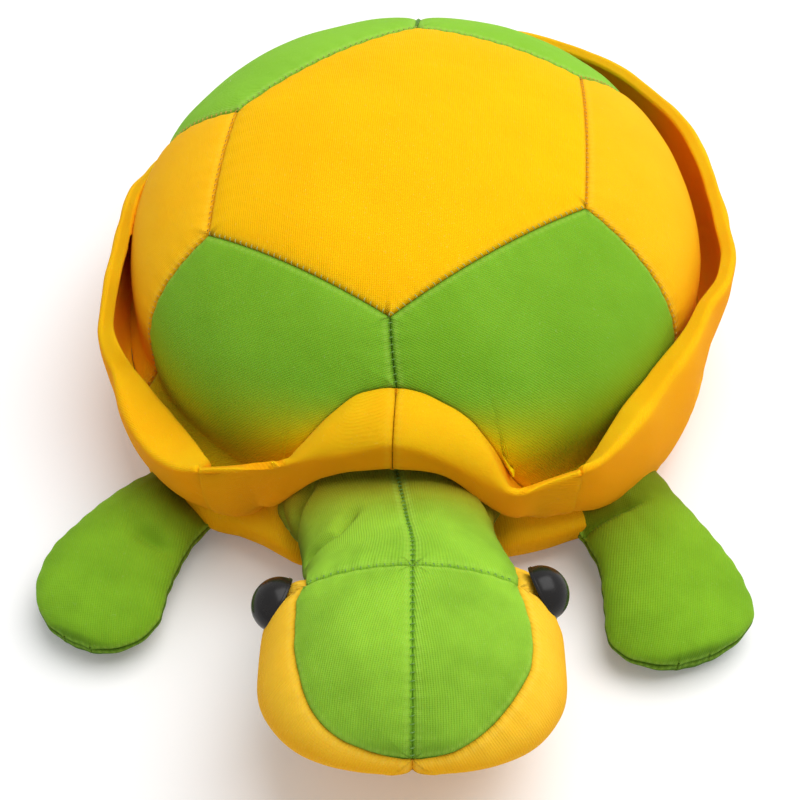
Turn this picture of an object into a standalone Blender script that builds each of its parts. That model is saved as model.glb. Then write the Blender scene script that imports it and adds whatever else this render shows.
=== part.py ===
# A stuffed turtle in stretch knit cloth, lying on its belly with the head toward -Y.
# Z is up, X points to the turtle's own left, and the origin is the middle of the belly on the floor.
# Every cloth panel is a sheet with the cloth's thickness inside its outer face, and the stuffing
# follows the same surface one cloth and one clearance further in.

import math

import bmesh
import bpy
import numpy as np
from mathutils import Matrix, Vector
from mathutils.bvhtree import BVHTree

# Cloth, seams and clearances, in metres
CLOTH = 0.0012            # one layer of knit cloth
SEAM_GAP = 0.0004         # clear line between two panels that are sewn together
FIT_GAP = 0.0004          # clear space between cloth and stuffing, and at every seat
SEAM_DIP = 0.0011         # how far the thread pulls a seam in
WELD = 0.000001           # points closer than this are one point

# Shell and belly
SHELL_HALF_WIDTH = 0.120
SHELL_HALF_LENGTH = 0.131
SHELL_CROWN = 0.068       # crown above the widest line of the shell
WIDEST_HEIGHT = 0.052     # that widest line above the floor
BELLY_HALF_WIDTH = 0.128
BELLY_HALF_LENGTH = 0.139
BELLY_ROUND = 0.022       # how far the belly's edge turns in down to the floor
WALL_FOOT = 0.020         # height where the belly's wall starts to turn in
SEAM_HEIGHT = 0.028       # seam of shell, brim and belly above the floor
ARCH_RISE = 0.058         # how much that seam rises over the neck
ARCH_HALF_DEG = 19.5      # azimuth at which the arch has come down by about two thirds
ARCH_POWER = 3.4          # above 2 the arch has a flatter top and steeper flanks
BELLY_POWER = 2.45        # 2 is an ellipse, more is squarer
BELLY_LEVELS = (2.4, 2.75, 3.0, 3.5, 4.0)   # rows under the wall, as body_point counts them

# Corners of the top panel: azimuth from the head, and distance from the middle as a share
# of the shell's reach there. Below each corner the side seams run down to the foot azimuth.
CORNER_DEG = (-2.5, 66.3, 131.2, 183.0, 253.3, 300.4)
CORNER_REACH_SHARES = (0.695, 0.625, 0.730, 0.634, 0.661, 0.751)
FOOT_DEG = (0.0, 60.0, 125.0, 180.0, 250.0, 303.0)
SHELL_PANELS = (
    ("shell_panel_front_left", "green"), ("shell_panel_left", "yellow"),
    ("shell_panel_back_left", "green"), ("shell_panel_back_right", "green"),
    ("shell_panel_right", "yellow"), ("shell_panel_front_right", "green"),
)
SECTOR_COLUMNS = 8
FRONT_CROWDING = 1.35     # above 1 the columns stand closer together at the neck's arch
TOP_ROWS = 3
SIDE_ROWS = 5
WALL_ROWS = 4

# Brim: a doubled band sewn in at the shell's seam. It runs from its root out to a crease and
# turns there to its free edge: over the neck the edge hangs down, elsewhere it lies inward.
# The lists start at the head and go round by way of the turtle's left in equal steps, as
# shares of the body's reach and of the band's width above the seam's height.
BRIM_WIDTH = 0.038
BRIM_BULGE = 0.0055
BRIM_BULGE_LEAN = 2       # the band bulges this much more outward than upward
BRIM_CLEAR = 0.006        # least way out from the shell's widest line to the band's own line
BRIM_ROW_SHARES = (0, 0.33, 0.67)           # rows between root and crease
CREASE_REACH_SHARES = (0.970, 0.992, 1.011, 0.962, 0.960, 1.009, 1.027, 1.009,
                       0.999, 0.976, 0.970, 0.978, 0.986, 0.964, 0.935, 0.923,
                       0.944, 0.971, 0.973, 0.982, 1.028, 1.050, 1.060, 0.987)
CREASE_RISE_SHARES = (1.36, 0.83, 0.84, 0.91, 0.97, 1.00, 1.00, 1.00,
                      1.00, 1.01, 1.03, 1.00, 0.95, 0.87, 0.79, 0.74,
                      0.67, 0.78, 0.97, 0.93, 0.67, 0.54, 0.72, 0.98)
EDGE_REACH_SHARES = (0.982, 1.010, 0.969, 0.895, 0.911, 0.967, 0.984, 0.967,
                     0.959, 0.938, 0.931, 0.939, 0.946, 0.925, 0.896, 0.891,
                     0.919, 0.942, 0.941, 0.940, 0.983, 0.928, 0.994, 1.010)
EDGE_RISE_SHARES = (1.03, 0.78, 0.81, 0.88, 0.95, 1.00, 1.00, 1.00,
                    1.00, 1.01, 1.03, 1.00, 0.95, 0.87, 0.79, 0.74,
                    0.68, 0.79, 0.97, 0.94, 0.64, 0.43, 0.61, 0.78)
BRIM_COLUMNS = 32
PROBE_DEG = 0.5           # steps along the body's surface that give its direction
PROBE_LEVEL = 0.02

# Neck: stations from the nod axis to the head's turning axis, as shares of that reach, of the
# half width and of the top's height above the floor (top and underside)
NECK_TURN_DEG = 10.5      # the neck leans to the turtle's left
NECK_ROOT = 0.124         # nod axis in front of the origin
NOD_HEIGHT = 0.036        # nod axis above the floor
NECK_REACH = 0.0545
NECK_HALF_WIDTH = 0.036
NECK_TOP = 0.076
NECK_ALONG_SHARES = (0.10, 0.22, 0.35, 0.51, 0.70, 0.93)
NECK_WIDE_SHARES = (1.084, 1.012, 0.895, 0.895, 0.935, 0.975)
NECK_TOP_SHARES = (0.875, 0.850, 0.822, 0.871, 0.930, 0.993)
NECK_UNDER_SHARES = (0.072, 0.098, 0.165, 0.212, 0.228, 0.240)
NECK_TUCK_SHARE = 0.08    # how much narrower the rings are toward the underside
NECK_SEAM_SHARE = 0.6     # side seams, as a share of the way from top to underside
NECK_COLUMNS = 20
ROOT_HALF_WIDTH = 0.0398  # rounded root of the neck, turned about the nod axis
ROOT_RADIUS = 0.0312
ROOT_GAP = 0.0008         # clear space round the root in the body, so that it can turn
ROOT_CORE_INSET = 0.0036  # stuffing of the root inside its cloth
ROOT_LID = 0.022          # roof of the root above the nod axis
LID_RISE = 0.040          # how much higher that roof is by the head's turning axis
ROOT_SLOPE_DEG = 20.0     # behind the axis that roof falls away so that the head can droop
SOCKET_LID = 0.0255

# Head: a round knuckle at the turning axis, then stations out to the nose
HEAD_YAW_DEG = 7.0        # the face looks this much back toward the middle
HEAD_HEIGHT = 0.0435      # middle of the head above the floor
KNUCKLE_LIFT = 0.003      # the knuckle's middle above the head's middle
KNUCKLE_RADIUS = 0.036
KNUCKLE_HALF_HEIGHT = 0.0292
HEAD_REACH = 0.080        # from the turning axis to the nose
HEAD_HALF_WIDTH = 0.053
HEAD_HALF_HEIGHT = 0.0435
KNUCKLE_DEG = (0.0, 18.0, 35.0, 62.0, 90.0)
HEAD_CLOTH_DEG = 35.0     # there the head's cloth starts, inside the end of the neck
SKULL_ROW_SHARES = (0.02, 0.125, 0.26, 0.42, 0.56, 0.70, 0.83, 0.94, 1.0)
SKULL_WIDE_SHARES = (0.830, 0.950, 1.0, 1.0, 0.984, 0.914, 0.771, 0.519, 0.045)
SKULL_HIGH_SHARES = (0.760, 0.850, 0.945, 1.0, 0.978, 0.889, 0.732, 0.478, 0.055)
BROW_SHARES = (0.17, 0.42, 0.75, 0.94, 1.0)
BROW_DEG = (46.0, 52.0, 49.0, 42.0, 45.0)   # green to yellow seam from the top, at those shares
BROW_COLUMNS = 5
CHEEK_COLUMNS = 7

# Eyes: a plastic dome on a shank through the cloth, held by a washer inside
EYE_RADIUS = 0.0112
EYE_DOME = 0.0095
EYE_FLANGE = 0.0012
EYE_DISH = 0.0009
EYE_RELIEF = 0.0013       # the eye's back off the skin
SHANK_RADIUS = 0.0030
SHANK_LENGTH = 0.0115
WASHER_RADIUS = 0.0070
WASHER_THICK = 0.0016
WASHER_DEPTH = 0.0052     # below the skin at the eye's middle
EYE_AIM_SHARE = 0.30      # the eyes point away from this share of the head's reach
EYE_AIM_DROP = 0.0055     # and from this far below the head's middle
EYE_BACK_DEG = 73.0       # measured from straight back
EYE_UP_DEG = 22.0
EYE_SEGMENTS = 16

# Flippers and tail. A blade is flat at its root, where its two panels meet in the seam.
FLIPPER_HINGE_HEIGHT = 0.016
ROOT_AWAY = 0.0012        # hinge axis off the belly's wall
FRONT_DEG = 38.0
FRONT_LENGTH = 0.078
FRONT_ROOT_HALF = 0.020
FRONT_BLADE_HALF = 0.0285
FRONT_THICK = 0.0125
FRONT_BEND = 0.024        # the blade's tip swings this far toward the head
FRONT_DROP = 0.004        # the blade's middle sinks this far from root to tip
REAR_DEG = 152.0
REAR_LENGTH = 0.042
REAR_ROOT_HALF = 0.016
REAR_BLADE_HALF = 0.020
REAR_THICK = 0.0100
REAR_BEND = 0.002
REAR_DROP = 0.005
TAIL_DEG = 180.0
TAIL_LENGTH = 0.034
TAIL_ROOT_HALF = 0.010
TAIL_BLADE_HALF = 0.0085
TAIL_THICK = 0.0062
TAIL_BEND = 0.0
TAIL_DROP = 0.007
BLADE_ROWS = 8
BLADE_COLUMNS = 7
FILL_START_SHARE = 0.24
FILL_END_SHARE = 0.90
BLADE_TIP_POWER = 5
TAIL_TIP_POWER = 2

BALL_SEGMENTS = 32        # round root of the neck, knuckle of the head and their seats
SHARP_DEG = 40.0          # sharper edges than this are shaded as edges

COLOURS = {
    "yellow": (1.0, 0.58, 0.02), "green": (0.22, 0.52, 0.05),
    "stuffing": (0.85, 0.84, 0.80), "black": (0.01, 0.01, 0.012),
}
ROUGHNESS = {"yellow": 0.85, "green": 0.85, "stuffing": 0.95, "black": 0.12}


def clear_scene():
    for item in list(bpy.data.objects):
        bpy.data.objects.remove(item, do_unlink=True)


def finish(name, colour):
    """A material of its own for one sub-part."""
    made = bpy.data.materials.new(name)
    made.use_nodes = True
    shader = made.node_tree.nodes["Principled BSDF"]
    shader.inputs["Base Color"].default_value = (*COLOURS[colour], 1)
    shader.inputs["Roughness"].default_value = ROUGHNESS[colour]
    shader.inputs["Metallic"].default_value = 0
    return made


def unit(vectors):
    length = np.linalg.norm(vectors, axis=-1, keepdims=True)
    return vectors / np.where(length == 0, 1, length)


def ease(share):
    share = np.clip(share, 0, 1)
    return share * share * (3 - 2 * share)


def grid_normals(points, wrap):
    """Unit normals of a grid of surface points, from the differences along rows and columns."""
    down = np.gradient(points, axis=0)
    if wrap:
        across = np.roll(points, -1, axis=1) - np.roll(points, 1, axis=1)
    else:
        across = np.gradient(points, axis=1)
    normals = unit(np.cross(down, across))
    for row, beside in ((0, 1), (-1, -2)):
        if np.ptp(points[row], axis=0).max() < WELD:
            normals[row] = unit(normals[beside].mean(axis=0))
    middle = points.reshape(-1, 3).mean(axis=0)
    if np.sum(normals * (points - middle)) < 0:
        normals = -normals
    return normals


class Skin:
    """A grid of surface points with outward normals, and for each cell which way it is split
    in two triangles. A grid that goes all the way round repeats its first column at the end."""

    def __init__(self, points, normals, split):
        self.points, self.normals, self.split = points, normals, split

    def part(self, first_row, last_row, first_column=0, last_column=None):
        if last_column is None:
            last_column = self.points.shape[1] - 1
        rows, columns = slice(first_row, last_row + 1), slice(first_column, last_column + 1)
        return Skin(self.points[rows, columns], self.normals[rows, columns],
                    self.split[first_row:last_row, first_column:last_column])

    def inside(self, depth):
        return Skin(self.points - self.normals * depth, self.normals, self.split)

    def above(self, floor):
        points = self.points.copy()
        points[..., 2] = np.maximum(points[..., 2], floor)
        return Skin(points, self.normals, self.split)

    def capped(self):
        """Add a point in the middle of the first and last row, which closes the grid."""
        first = np.broadcast_to(self.points[0].mean(axis=0), self.points[:1].shape)
        last = np.broadcast_to(self.points[-1].mean(axis=0), self.points[:1].shape)
        points = np.concatenate([first, self.points, last])
        ends = np.ones((1, self.split.shape[1]), bool)
        return Skin(points, points * 0, np.concatenate([ends, self.split, ends]))


def make_skin(points, wrap):
    """Normals and the shorter diagonal of every cell; wrap closes the grid on itself."""
    normals = grid_normals(points, wrap)
    if wrap:
        points = np.concatenate([points, points[:, :1]], axis=1)
        normals = np.concatenate([normals, normals[:, :1]], axis=1)
    falling = np.linalg.norm(points[1:, 1:] - points[:-1, :-1], axis=-1)
    rising = np.linalg.norm(points[1:, :-1] - points[:-1, 1:], axis=-1)
    return Skin(points, normals, falling <= rising)


def grid_faces(split):
    columns = split.shape[1] + 1
    faces = []
    for row, column in np.ndindex(split.shape):
        here = row * columns + column
        below = here + columns
        if split[row, column]:
            faces += [(here, here + 1, below + 1), (here, below + 1, below)]
        else:
            faces += [(here, here + 1, below), (here + 1, below + 1, below)]
    return faces


def ray_hit(skin, start, direction):
    """Where a ray meets a skin, and the direction square to the skin there."""
    tree = BVHTree.FromPolygons([Vector(point) for point in skin.points.reshape(-1, 3)],
                                grid_faces(skin.split))
    place, facing = tree.ray_cast(start, direction)[:2]
    return place, facing


def layer_faces(skin):
    """Faces of a closed layer between a grid and its copy further in, rims included."""
    rows, columns = skin.points.shape[:2]
    size = rows * columns
    faces = grid_faces(skin.split)
    faces = faces + [tuple(size + corner for corner in face) for face in faces]
    rims = []
    for row in (0, rows - 1):
        if np.ptp(skin.points[row], axis=0).max() > WELD:
            rims.append([row * columns + column for column in range(columns)])
    if np.abs(skin.points[:, 0] - skin.points[:, -1]).max() > WELD:
        for column in (0, columns - 1):
            rims.append([row * columns + column for row in range(rows)])
    for rim in rims:
        for here, after in zip(rim, rim[1:]):
            faces.append((here, after, size + after))
            faces.append((here, size + after, size + here))
    return faces


def add_object(name, points, faces, colour, parent=None):
    """Put points and faces into a closed body, merge what coincides and face it outward."""
    mesh = bpy.data.meshes.new(name)
    mesh.from_pydata([tuple(point) for point in points], [], faces)
    work = bmesh.new()
    work.from_mesh(mesh)
    bmesh.ops.remove_doubles(work, verts=work.verts, dist=WELD)
    bmesh.ops.dissolve_degenerate(work, edges=work.edges, dist=WELD)
    bmesh.ops.recalc_face_normals(work, faces=work.faces)
    work.to_mesh(mesh)
    work.free()
    mesh.materials.append(finish(name, colour))
    mesh.shade_smooth()
    mesh.set_sharp_from_angle(angle=math.radians(SHARP_DEG))
    made = bpy.data.objects.new(name, mesh)
    bpy.context.collection.objects.link(made)
    if parent:
        made.parent = parent
    return made


def add_filling(name, skin, parent=None):
    """A closed body from a grid that goes all round and comes to a point at both ends."""
    return add_object(name, skin.points.reshape(-1, 3), grid_faces(skin.split), "stuffing",
                      parent)


def draw_back(points, sides):
    """Move the named border rows and columns inward by half a seam gap."""
    drawn = points.copy()
    borders = {"first_row": (0, 1, True), "last_row": (-1, -2, True),
               "first_column": (0, 1, False), "last_column": (-1, -2, False)}
    for side in sides:
        edge, beside, is_row = borders[side]
        line = drawn if is_row else drawn.swapaxes(0, 1)
        line[edge] += unit(line[beside] - line[edge]) * SEAM_GAP / 2
    return drawn


def add_panel(name, skin, colour, sides, parent=None, thick=CLOTH):
    """A cloth panel: its outer face is the grid, and the cloth's thickness lies inside it."""
    outer = draw_back(skin.points, sides)
    inner = outer - skin.normals * thick
    layer = np.concatenate([outer.reshape(-1, 3), inner.reshape(-1, 3)])
    return add_object(name, layer, layer_faces(skin), colour, parent)


def hide_cutter(cutter):
    cutter.hide_render = True
    cutter.display_type = "WIRE"
    return cutter


def boolean(target, other, operation):
    step = target.modifiers.new(operation.lower(), "BOOLEAN")
    step.operation = operation
    step.object = other
    step.solver = "EXACT"


def clear_of_facets(radius, gap):
    """Radius for a faceted round seat that keeps a gap all round a body of this radius."""
    return (radius + gap) / math.cos(math.pi / BALL_SEGMENTS)


# Body: shell, belly and stuffing

def plan_reach(azimuth, half_width, half_length, power):
    """Reach of a rounded outline seen from above, at an azimuth from the head."""
    side = np.abs(np.sin(azimuth)) / half_width
    front = np.abs(np.cos(azimuth)) / half_length
    return (side ** power + front ** power) ** (-1 / power)


def shell_reach(azimuth):
    return plan_reach(azimuth, SHELL_HALF_WIDTH, SHELL_HALF_LENGTH, 2)


def belly_reach(azimuth):
    return plan_reach(azimuth, BELLY_HALF_WIDTH, BELLY_HALF_LENGTH, BELLY_POWER)


def body_point(azimuth, level):
    """Point of the body's outside: level 0 is the crown, 1 the widest line, 2 the foot of
    the wall, 3 the edge of the flat belly and 4 its middle."""
    dome = np.clip(level, 0, 1) * math.pi / 2
    wall = np.clip(level - 1, 0, 1)
    turn = np.clip(level - 2, 0, 1) * math.pi / 2
    flat = np.clip(level - 3, 0, 1)
    reach = shell_reach(azimuth) * np.sin(dome)
    reach = reach + (belly_reach(azimuth) - shell_reach(azimuth)) * ease(wall)
    reach = (reach - BELLY_ROUND * (1 - np.cos(turn))) * (1 - flat)
    height = WIDEST_HEIGHT + SHELL_CROWN * np.cos(dome)
    height = height - (WIDEST_HEIGHT - WALL_FOOT) * wall - WALL_FOOT * np.sin(turn)
    return np.stack([reach * np.sin(azimuth), -reach * np.cos(azimuth), height], axis=-1)


def seam_level(azimuth):
    """Level of the seam under the shell, which arches up over the neck."""
    away = np.abs(np.degrees(np.angle(np.exp(1j * azimuth)))) / ARCH_HALF_DEG
    height = SEAM_HEIGHT + ARCH_RISE * np.exp(-away ** ARCH_POWER)
    on_dome = np.arccos(np.clip((height - WIDEST_HEIGHT) / SHELL_CROWN, 0, 1)) * 2 / math.pi
    on_wall = 1 + (WIDEST_HEIGHT - height) / (WIDEST_HEIGHT - WALL_FOOT)
    return np.where(height > WIDEST_HEIGHT, on_dome, on_wall)


def corner_points():
    azimuth = np.radians(CORNER_DEG)
    reach = shell_reach(azimuth) * np.array(CORNER_REACH_SHARES)
    return np.stack([reach * np.sin(azimuth), -reach * np.cos(azimuth)], axis=-1)


def plan_to_shell(places):
    """Azimuth and level on the shell above points given in plan."""
    azimuth = np.arctan2(places[..., 0], -places[..., 1])
    reach = np.hypot(places[..., 0], places[..., 1])
    level = np.arcsin(np.clip(reach / shell_reach(azimuth), 0, 1)) * 2 / math.pi
    return azimuth, level


def body_grid():
    """Rows from the crown to the middle of the belly, columns round from the head."""
    corners = corner_points()
    even = np.arange(SECTOR_COLUMNS) / SECTOR_COLUMNS
    crowded = {0: even ** FRONT_CROWDING, 5: 1 - (1 - even) ** FRONT_CROWDING}
    edge, foot = [], []
    for sector in range(6):
        after = (sector + 1) % 6
        share = crowded.get(sector, even)
        edge.append(corners[sector] + (corners[after] - corners[sector]) * share[:, None])
        turn = 360 if after == 0 else 0
        foot.append(FOOT_DEG[sector] + (FOOT_DEG[after] + turn - FOOT_DEG[sector]) * share)
    edge = np.concatenate(edge)
    foot = np.radians(np.concatenate(foot))
    middle = corners.mean(axis=0)
    rows = []
    for row in range(TOP_ROWS + 1):
        azimuth, level = plan_to_shell(middle + (edge - middle) * row / TOP_ROWS)
        rows.append(body_point(azimuth, level))
    lean = np.angle(np.exp(1j * (azimuth - foot)))
    seam = seam_level(foot)
    for row in range(1, SIDE_ROWS + 1):
        down = row / SIDE_ROWS
        rows.append(body_point(foot + lean * (1 - down), level + (seam - level) * down))
    for row in range(1, WALL_ROWS + 1):
        rows.append(body_point(foot, seam + (2 - seam) * row / WALL_ROWS))
    for level in BELLY_LEVELS:
        rows.append(body_point(foot, np.full(foot.shape, level)))
    return np.stack(rows)


def dip_seams(points):
    """Pull the seams of the shell in along the surface normal."""
    normals = grid_normals(points, True)
    depth = np.zeros(points.shape[:2])
    depth[TOP_ROWS] = SEAM_DIP
    depth[TOP_ROWS:TOP_ROWS + SIDE_ROWS + 1, ::SECTOR_COLUMNS] = SEAM_DIP
    depth[TOP_ROWS + SIDE_ROWS] = SEAM_DIP
    return points - normals * depth[..., None]


def build_body():
    skin = make_skin(dip_seams(body_grid()), True)
    filling = add_filling("body_filling", skin.inside(CLOTH + FIT_GAP).above(CLOTH + FIT_GAP))
    add_panel("shell_panel_top", skin.part(0, TOP_ROWS), "yellow", ("last_row",))
    seam_row = TOP_ROWS + SIDE_ROWS
    for sector, (name, colour) in enumerate(SHELL_PANELS):
        first = sector * SECTOR_COLUMNS
        block = skin.part(TOP_ROWS, seam_row, first, first + SECTOR_COLUMNS)
        add_panel(name, block, colour, ("first_row", "last_row", "first_column", "last_column"))
    bottom = skin.points.shape[0] - 1
    belly = add_panel("belly_panel", skin.part(seam_row, bottom), "yellow", ("first_row",))
    socket = add_socket()
    boolean(filling, socket, "DIFFERENCE")
    boolean(belly, socket, "DIFFERENCE")


# Brim

def round_table(shares, azimuth):
    """Smooth closed curve through equally spaced shares, read at an azimuth."""
    count = len(shares)
    values = np.array(shares)
    place = (azimuth / (2 * math.pi) * count) % count
    low = np.floor(place).astype(int)
    part = place - low
    before, here = values[(low - 1) % count], values[low % count]
    after, beyond = values[(low + 1) % count], values[(low + 2) % count]
    return here + 0.5 * part * (after - before + part * (
        2 * before - 5 * here + 4 * after - beyond + part * (
            3 * (here - after) + beyond - before)))


def brim_rail(azimuth, reach_shares, rise_shares):
    """Line round the body: the crease or the free edge of the band."""
    base = np.maximum(belly_reach(azimuth), shell_reach(azimuth) + BRIM_CLEAR)
    reach = base * round_table(reach_shares, azimuth)
    height = SEAM_HEIGHT + BRIM_WIDTH * round_table(rise_shares, azimuth)
    return np.stack([reach * np.sin(azimuth), -reach * np.cos(azimuth), height], axis=-1)


def brim_root(azimuth):
    """The shell's seam, moved out until the band's inner face clears the cloth."""
    root = body_point(azimuth, seam_level(azimuth))
    step = np.radians(PROBE_DEG)
    along = (body_point(azimuth + step, seam_level(azimuth + step))
             - body_point(azimuth - step, seam_level(azimuth - step)))
    rise = body_point(azimuth, seam_level(azimuth) - PROBE_LEVEL) - root
    outward = unit(np.cross(rise, along))
    outward = np.where(np.sum(outward * root, axis=-1, keepdims=True) < 0, -outward, outward)
    return root + outward * (CLOTH + FIT_GAP)


def brim_grid(azimuth):
    """Middle of the band: rows from the root to the crease and on to the free edge."""
    root = brim_root(azimuth)
    crease = brim_rail(azimuth, CREASE_REACH_SHARES, CREASE_RISE_SHARES)
    edge = brim_rail(azimuth, EDGE_REACH_SHARES, EDGE_RISE_SHARES)
    outward = unit(crease * (1, 1, 0))
    bulge = unit(outward * BRIM_BULGE_LEAN + (0, 0, 1)) * BRIM_BULGE
    rows = [root + (crease - root) * share + bulge * 4 * share * (1 - share)
            for share in BRIM_ROW_SHARES]
    return np.stack(rows + [crease, (crease + edge) / 2, edge])


def build_brim():
    """Two bands of half the shell's length, joined by a seam in front and one behind."""
    gap = SEAM_GAP / SHELL_HALF_LENGTH / 2
    for name, start in (("brim_left", 0), ("brim_right", math.pi)):
        azimuth = np.linspace(start + gap, start + math.pi - gap, BRIM_COLUMNS + 1)
        middle = make_skin(brim_grid(azimuth), False)
        add_panel(name, middle.inside(-CLOTH), "yellow", ("first_column", "last_column"),
                  thick=2 * CLOTH)


# Neck

def add_empty(name, place, turn, parent=None):
    empty = bpy.data.objects.new(name, None)
    bpy.context.collection.objects.link(empty)
    empty.parent = parent
    empty.location = place
    empty.rotation_euler = (0, 0, turn)
    return empty


def add_ball(name, radii):
    mesh = bpy.data.meshes.new(name)
    work = bmesh.new()
    bmesh.ops.create_uvsphere(work, u_segments=BALL_SEGMENTS, v_segments=BALL_SEGMENTS // 2,
                              radius=1)
    bmesh.ops.transform(work, matrix=Matrix.Diagonal((*radii, 1)), verts=work.verts)
    work.to_mesh(mesh)
    work.free()
    ball = bpy.data.objects.new(name, mesh)
    bpy.context.collection.objects.link(ball)
    return ball


def slice_off(item, place, direction):
    """Cut away what lies beyond a plane and fill the cut."""
    work = bmesh.new()
    work.from_mesh(item.data)
    whole = work.verts[:] + work.edges[:] + work.faces[:]
    cut = bmesh.ops.bisect_plane(work, geom=whole, plane_co=place, plane_no=direction,
                                 clear_outer=True)
    edges = [part for part in cut["geom_cut"] if isinstance(part, bmesh.types.BMEdge)]
    bmesh.ops.holes_fill(work, edges=edges)
    bmesh.ops.recalc_face_normals(work, faces=work.faces)
    work.to_mesh(item.data)
    work.free()


def add_root_ball(name, inset, lid, slope_deg):
    """Half-round body about the nod axis, lying along X, under a flat roof."""
    wide, round_radius = ROOT_HALF_WIDTH - inset, ROOT_RADIUS - inset
    ball = add_ball(name, (round_radius, round_radius, wide))
    ball.data.transform(Matrix.Rotation(math.pi / 2, 4, "Y"))
    slope = math.radians(slope_deg)
    slice_off(ball, (0, 0, lid), (0, 0, 1))
    slice_off(ball, (0, 0, lid), (0, math.sin(slope), math.cos(slope)))
    return hide_cutter(ball)


def add_socket():
    """Space in the body for the neck's round root."""
    outset = clear_of_facets(ROOT_RADIUS, ROOT_GAP) - ROOT_RADIUS
    socket = add_root_ball("socket_cutter", -outset, SOCKET_LID, 0)
    socket.location = (0, -NECK_ROOT, NOD_HEIGHT)
    socket.rotation_euler = (0, 0, math.radians(NECK_TURN_DEG))
    return socket


def neck_grid():
    """Rings of the neck about the nod axis, the neck running along -Y of its own frame."""
    along = np.array(NECK_ALONG_SHARES) * NECK_REACH
    wide = np.array(NECK_WIDE_SHARES) * NECK_HALF_WIDTH
    top = np.array(NECK_TOP_SHARES) * NECK_TOP
    under = np.array(NECK_UNDER_SHARES) * NECK_TOP
    turn = np.arange(NECK_COLUMNS) * 2 * math.pi / NECK_COLUMNS
    middle = (top + under) / 2 - NOD_HEIGHT
    half = (top - under) / 2
    lid = ROOT_LID + LID_RISE * np.array(NECK_ALONG_SHARES) ** 2
    tuck = 1 - NECK_TUCK_SHARE * np.clip(-np.cos(turn), 0, 1)
    points = np.stack([
        wide[:, None] * np.sin(turn) * tuck,
        np.broadcast_to(-along[:, None], (len(along), NECK_COLUMNS)),
        np.minimum(middle[:, None] + half[:, None] * np.cos(turn), lid[:, None]),
    ], axis=-1)
    side = round(NECK_SEAM_SHARE * NECK_COLUMNS / 2)
    depth = np.zeros(points.shape[:2])
    depth[:, (0, side, NECK_COLUMNS - side)] = SEAM_DIP
    return points - grid_normals(points, True) * depth[..., None], side


def build_neck(pivot, knuckle):
    rings, side = neck_grid()
    skin = make_skin(rings, True)
    last = len(rings) - 1
    pieces = (("neck_panel_left", 0, side),
              ("neck_underside_panel", side, NECK_COLUMNS - side),
              ("neck_panel_right", NECK_COLUMNS - side, NECK_COLUMNS))
    for name, first_column, last_column in pieces:
        panel = add_panel(name, skin.part(0, last, first_column, last_column), "green",
                          ("first_column", "last_column"), parent=pivot)
        boolean(panel, knuckle, "DIFFERENCE")
    filling = add_filling("neck_filling", skin.inside(CLOTH + FIT_GAP).capped(), pivot)
    core = add_root_ball("root_core_cutter", ROOT_CORE_INSET, ROOT_LID - ROOT_CORE_INSET,
                         ROOT_SLOPE_DEG)
    core.parent = pivot
    boolean(filling, core, "UNION")
    boolean(filling, knuckle, "DIFFERENCE")


# Head

def head_grid():
    """Rows from the back of the knuckle to the nose, columns round from the top by the left."""
    back = np.radians(KNUCKLE_DEG)
    front = np.array(SKULL_ROW_SHARES)
    along = np.concatenate([KNUCKLE_RADIUS * np.cos(back), -HEAD_REACH * front])
    wide = np.concatenate([KNUCKLE_RADIUS * np.sin(back),
                           HEAD_HALF_WIDTH * np.array(SKULL_WIDE_SHARES)])
    high = np.concatenate([KNUCKLE_HALF_HEIGHT * np.sin(back),
                           HEAD_HALF_HEIGHT * np.array(SKULL_HIGH_SHARES)])
    place = np.concatenate([np.zeros(len(back)), front])
    lift = KNUCKLE_LIFT * (1 - ease(place / BROW_SHARES[1]))
    brow = np.radians(np.interp(place, BROW_SHARES, BROW_DEG))
    top = np.arange(BROW_COLUMNS) / BROW_COLUMNS
    low = np.arange(CHEEK_COLUMNS) / CHEEK_COLUMNS
    left = np.concatenate([brow[:, None] * top,
                           brow[:, None] + (math.pi - brow[:, None]) * low], axis=1)
    turn = np.concatenate([left, np.full((len(place), 1), math.pi),
                           2 * math.pi - left[:, :0:-1]], axis=1)
    points = np.stack([wide[:, None] * np.sin(turn),
                       np.broadcast_to(along[:, None], turn.shape),
                       lift[:, None] + high[:, None] * np.cos(turn)], axis=-1)
    normals = grid_normals(points, True)
    depth = np.zeros(turn.shape)
    columns = turn.shape[1]
    seams = (0, BROW_COLUMNS, columns // 2, columns - BROW_COLUMNS)
    depth[len(back):-2, seams] = SEAM_DIP
    points = points - normals * depth[..., None]
    points[..., 2] = np.maximum(points[..., 2], -HEAD_HEIGHT)
    return points


def turned(name, profile, segments, colour, parent=None):
    """Spin a closed profile of radius and height about Z."""
    mesh = bpy.data.meshes.new(name)
    work = bmesh.new()
    verts = [work.verts.new((radius, 0, height)) for radius, height in profile]
    edges = [work.edges.new(pair) for pair in zip(verts, verts[1:])]
    if profile[0][0] > 0:
        edges.append(work.edges.new((verts[-1], verts[0])))
    bmesh.ops.spin(work, geom=verts + edges, cent=(0, 0, 0), axis=(0, 0, 1),
                   angle=2 * math.pi, steps=segments, use_merge=True)
    bmesh.ops.remove_doubles(work, verts=work.verts, dist=WELD)
    bmesh.ops.recalc_face_normals(work, faces=work.faces)
    work.to_mesh(mesh)
    work.free()
    if colour:
        mesh.materials.append(finish(name, colour))
    mesh.shade_smooth()
    mesh.set_sharp_from_angle(angle=math.radians(SHARP_DEG))
    made = bpy.data.objects.new(name, mesh)
    bpy.context.collection.objects.link(made)
    made.parent = parent
    return made


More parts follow.
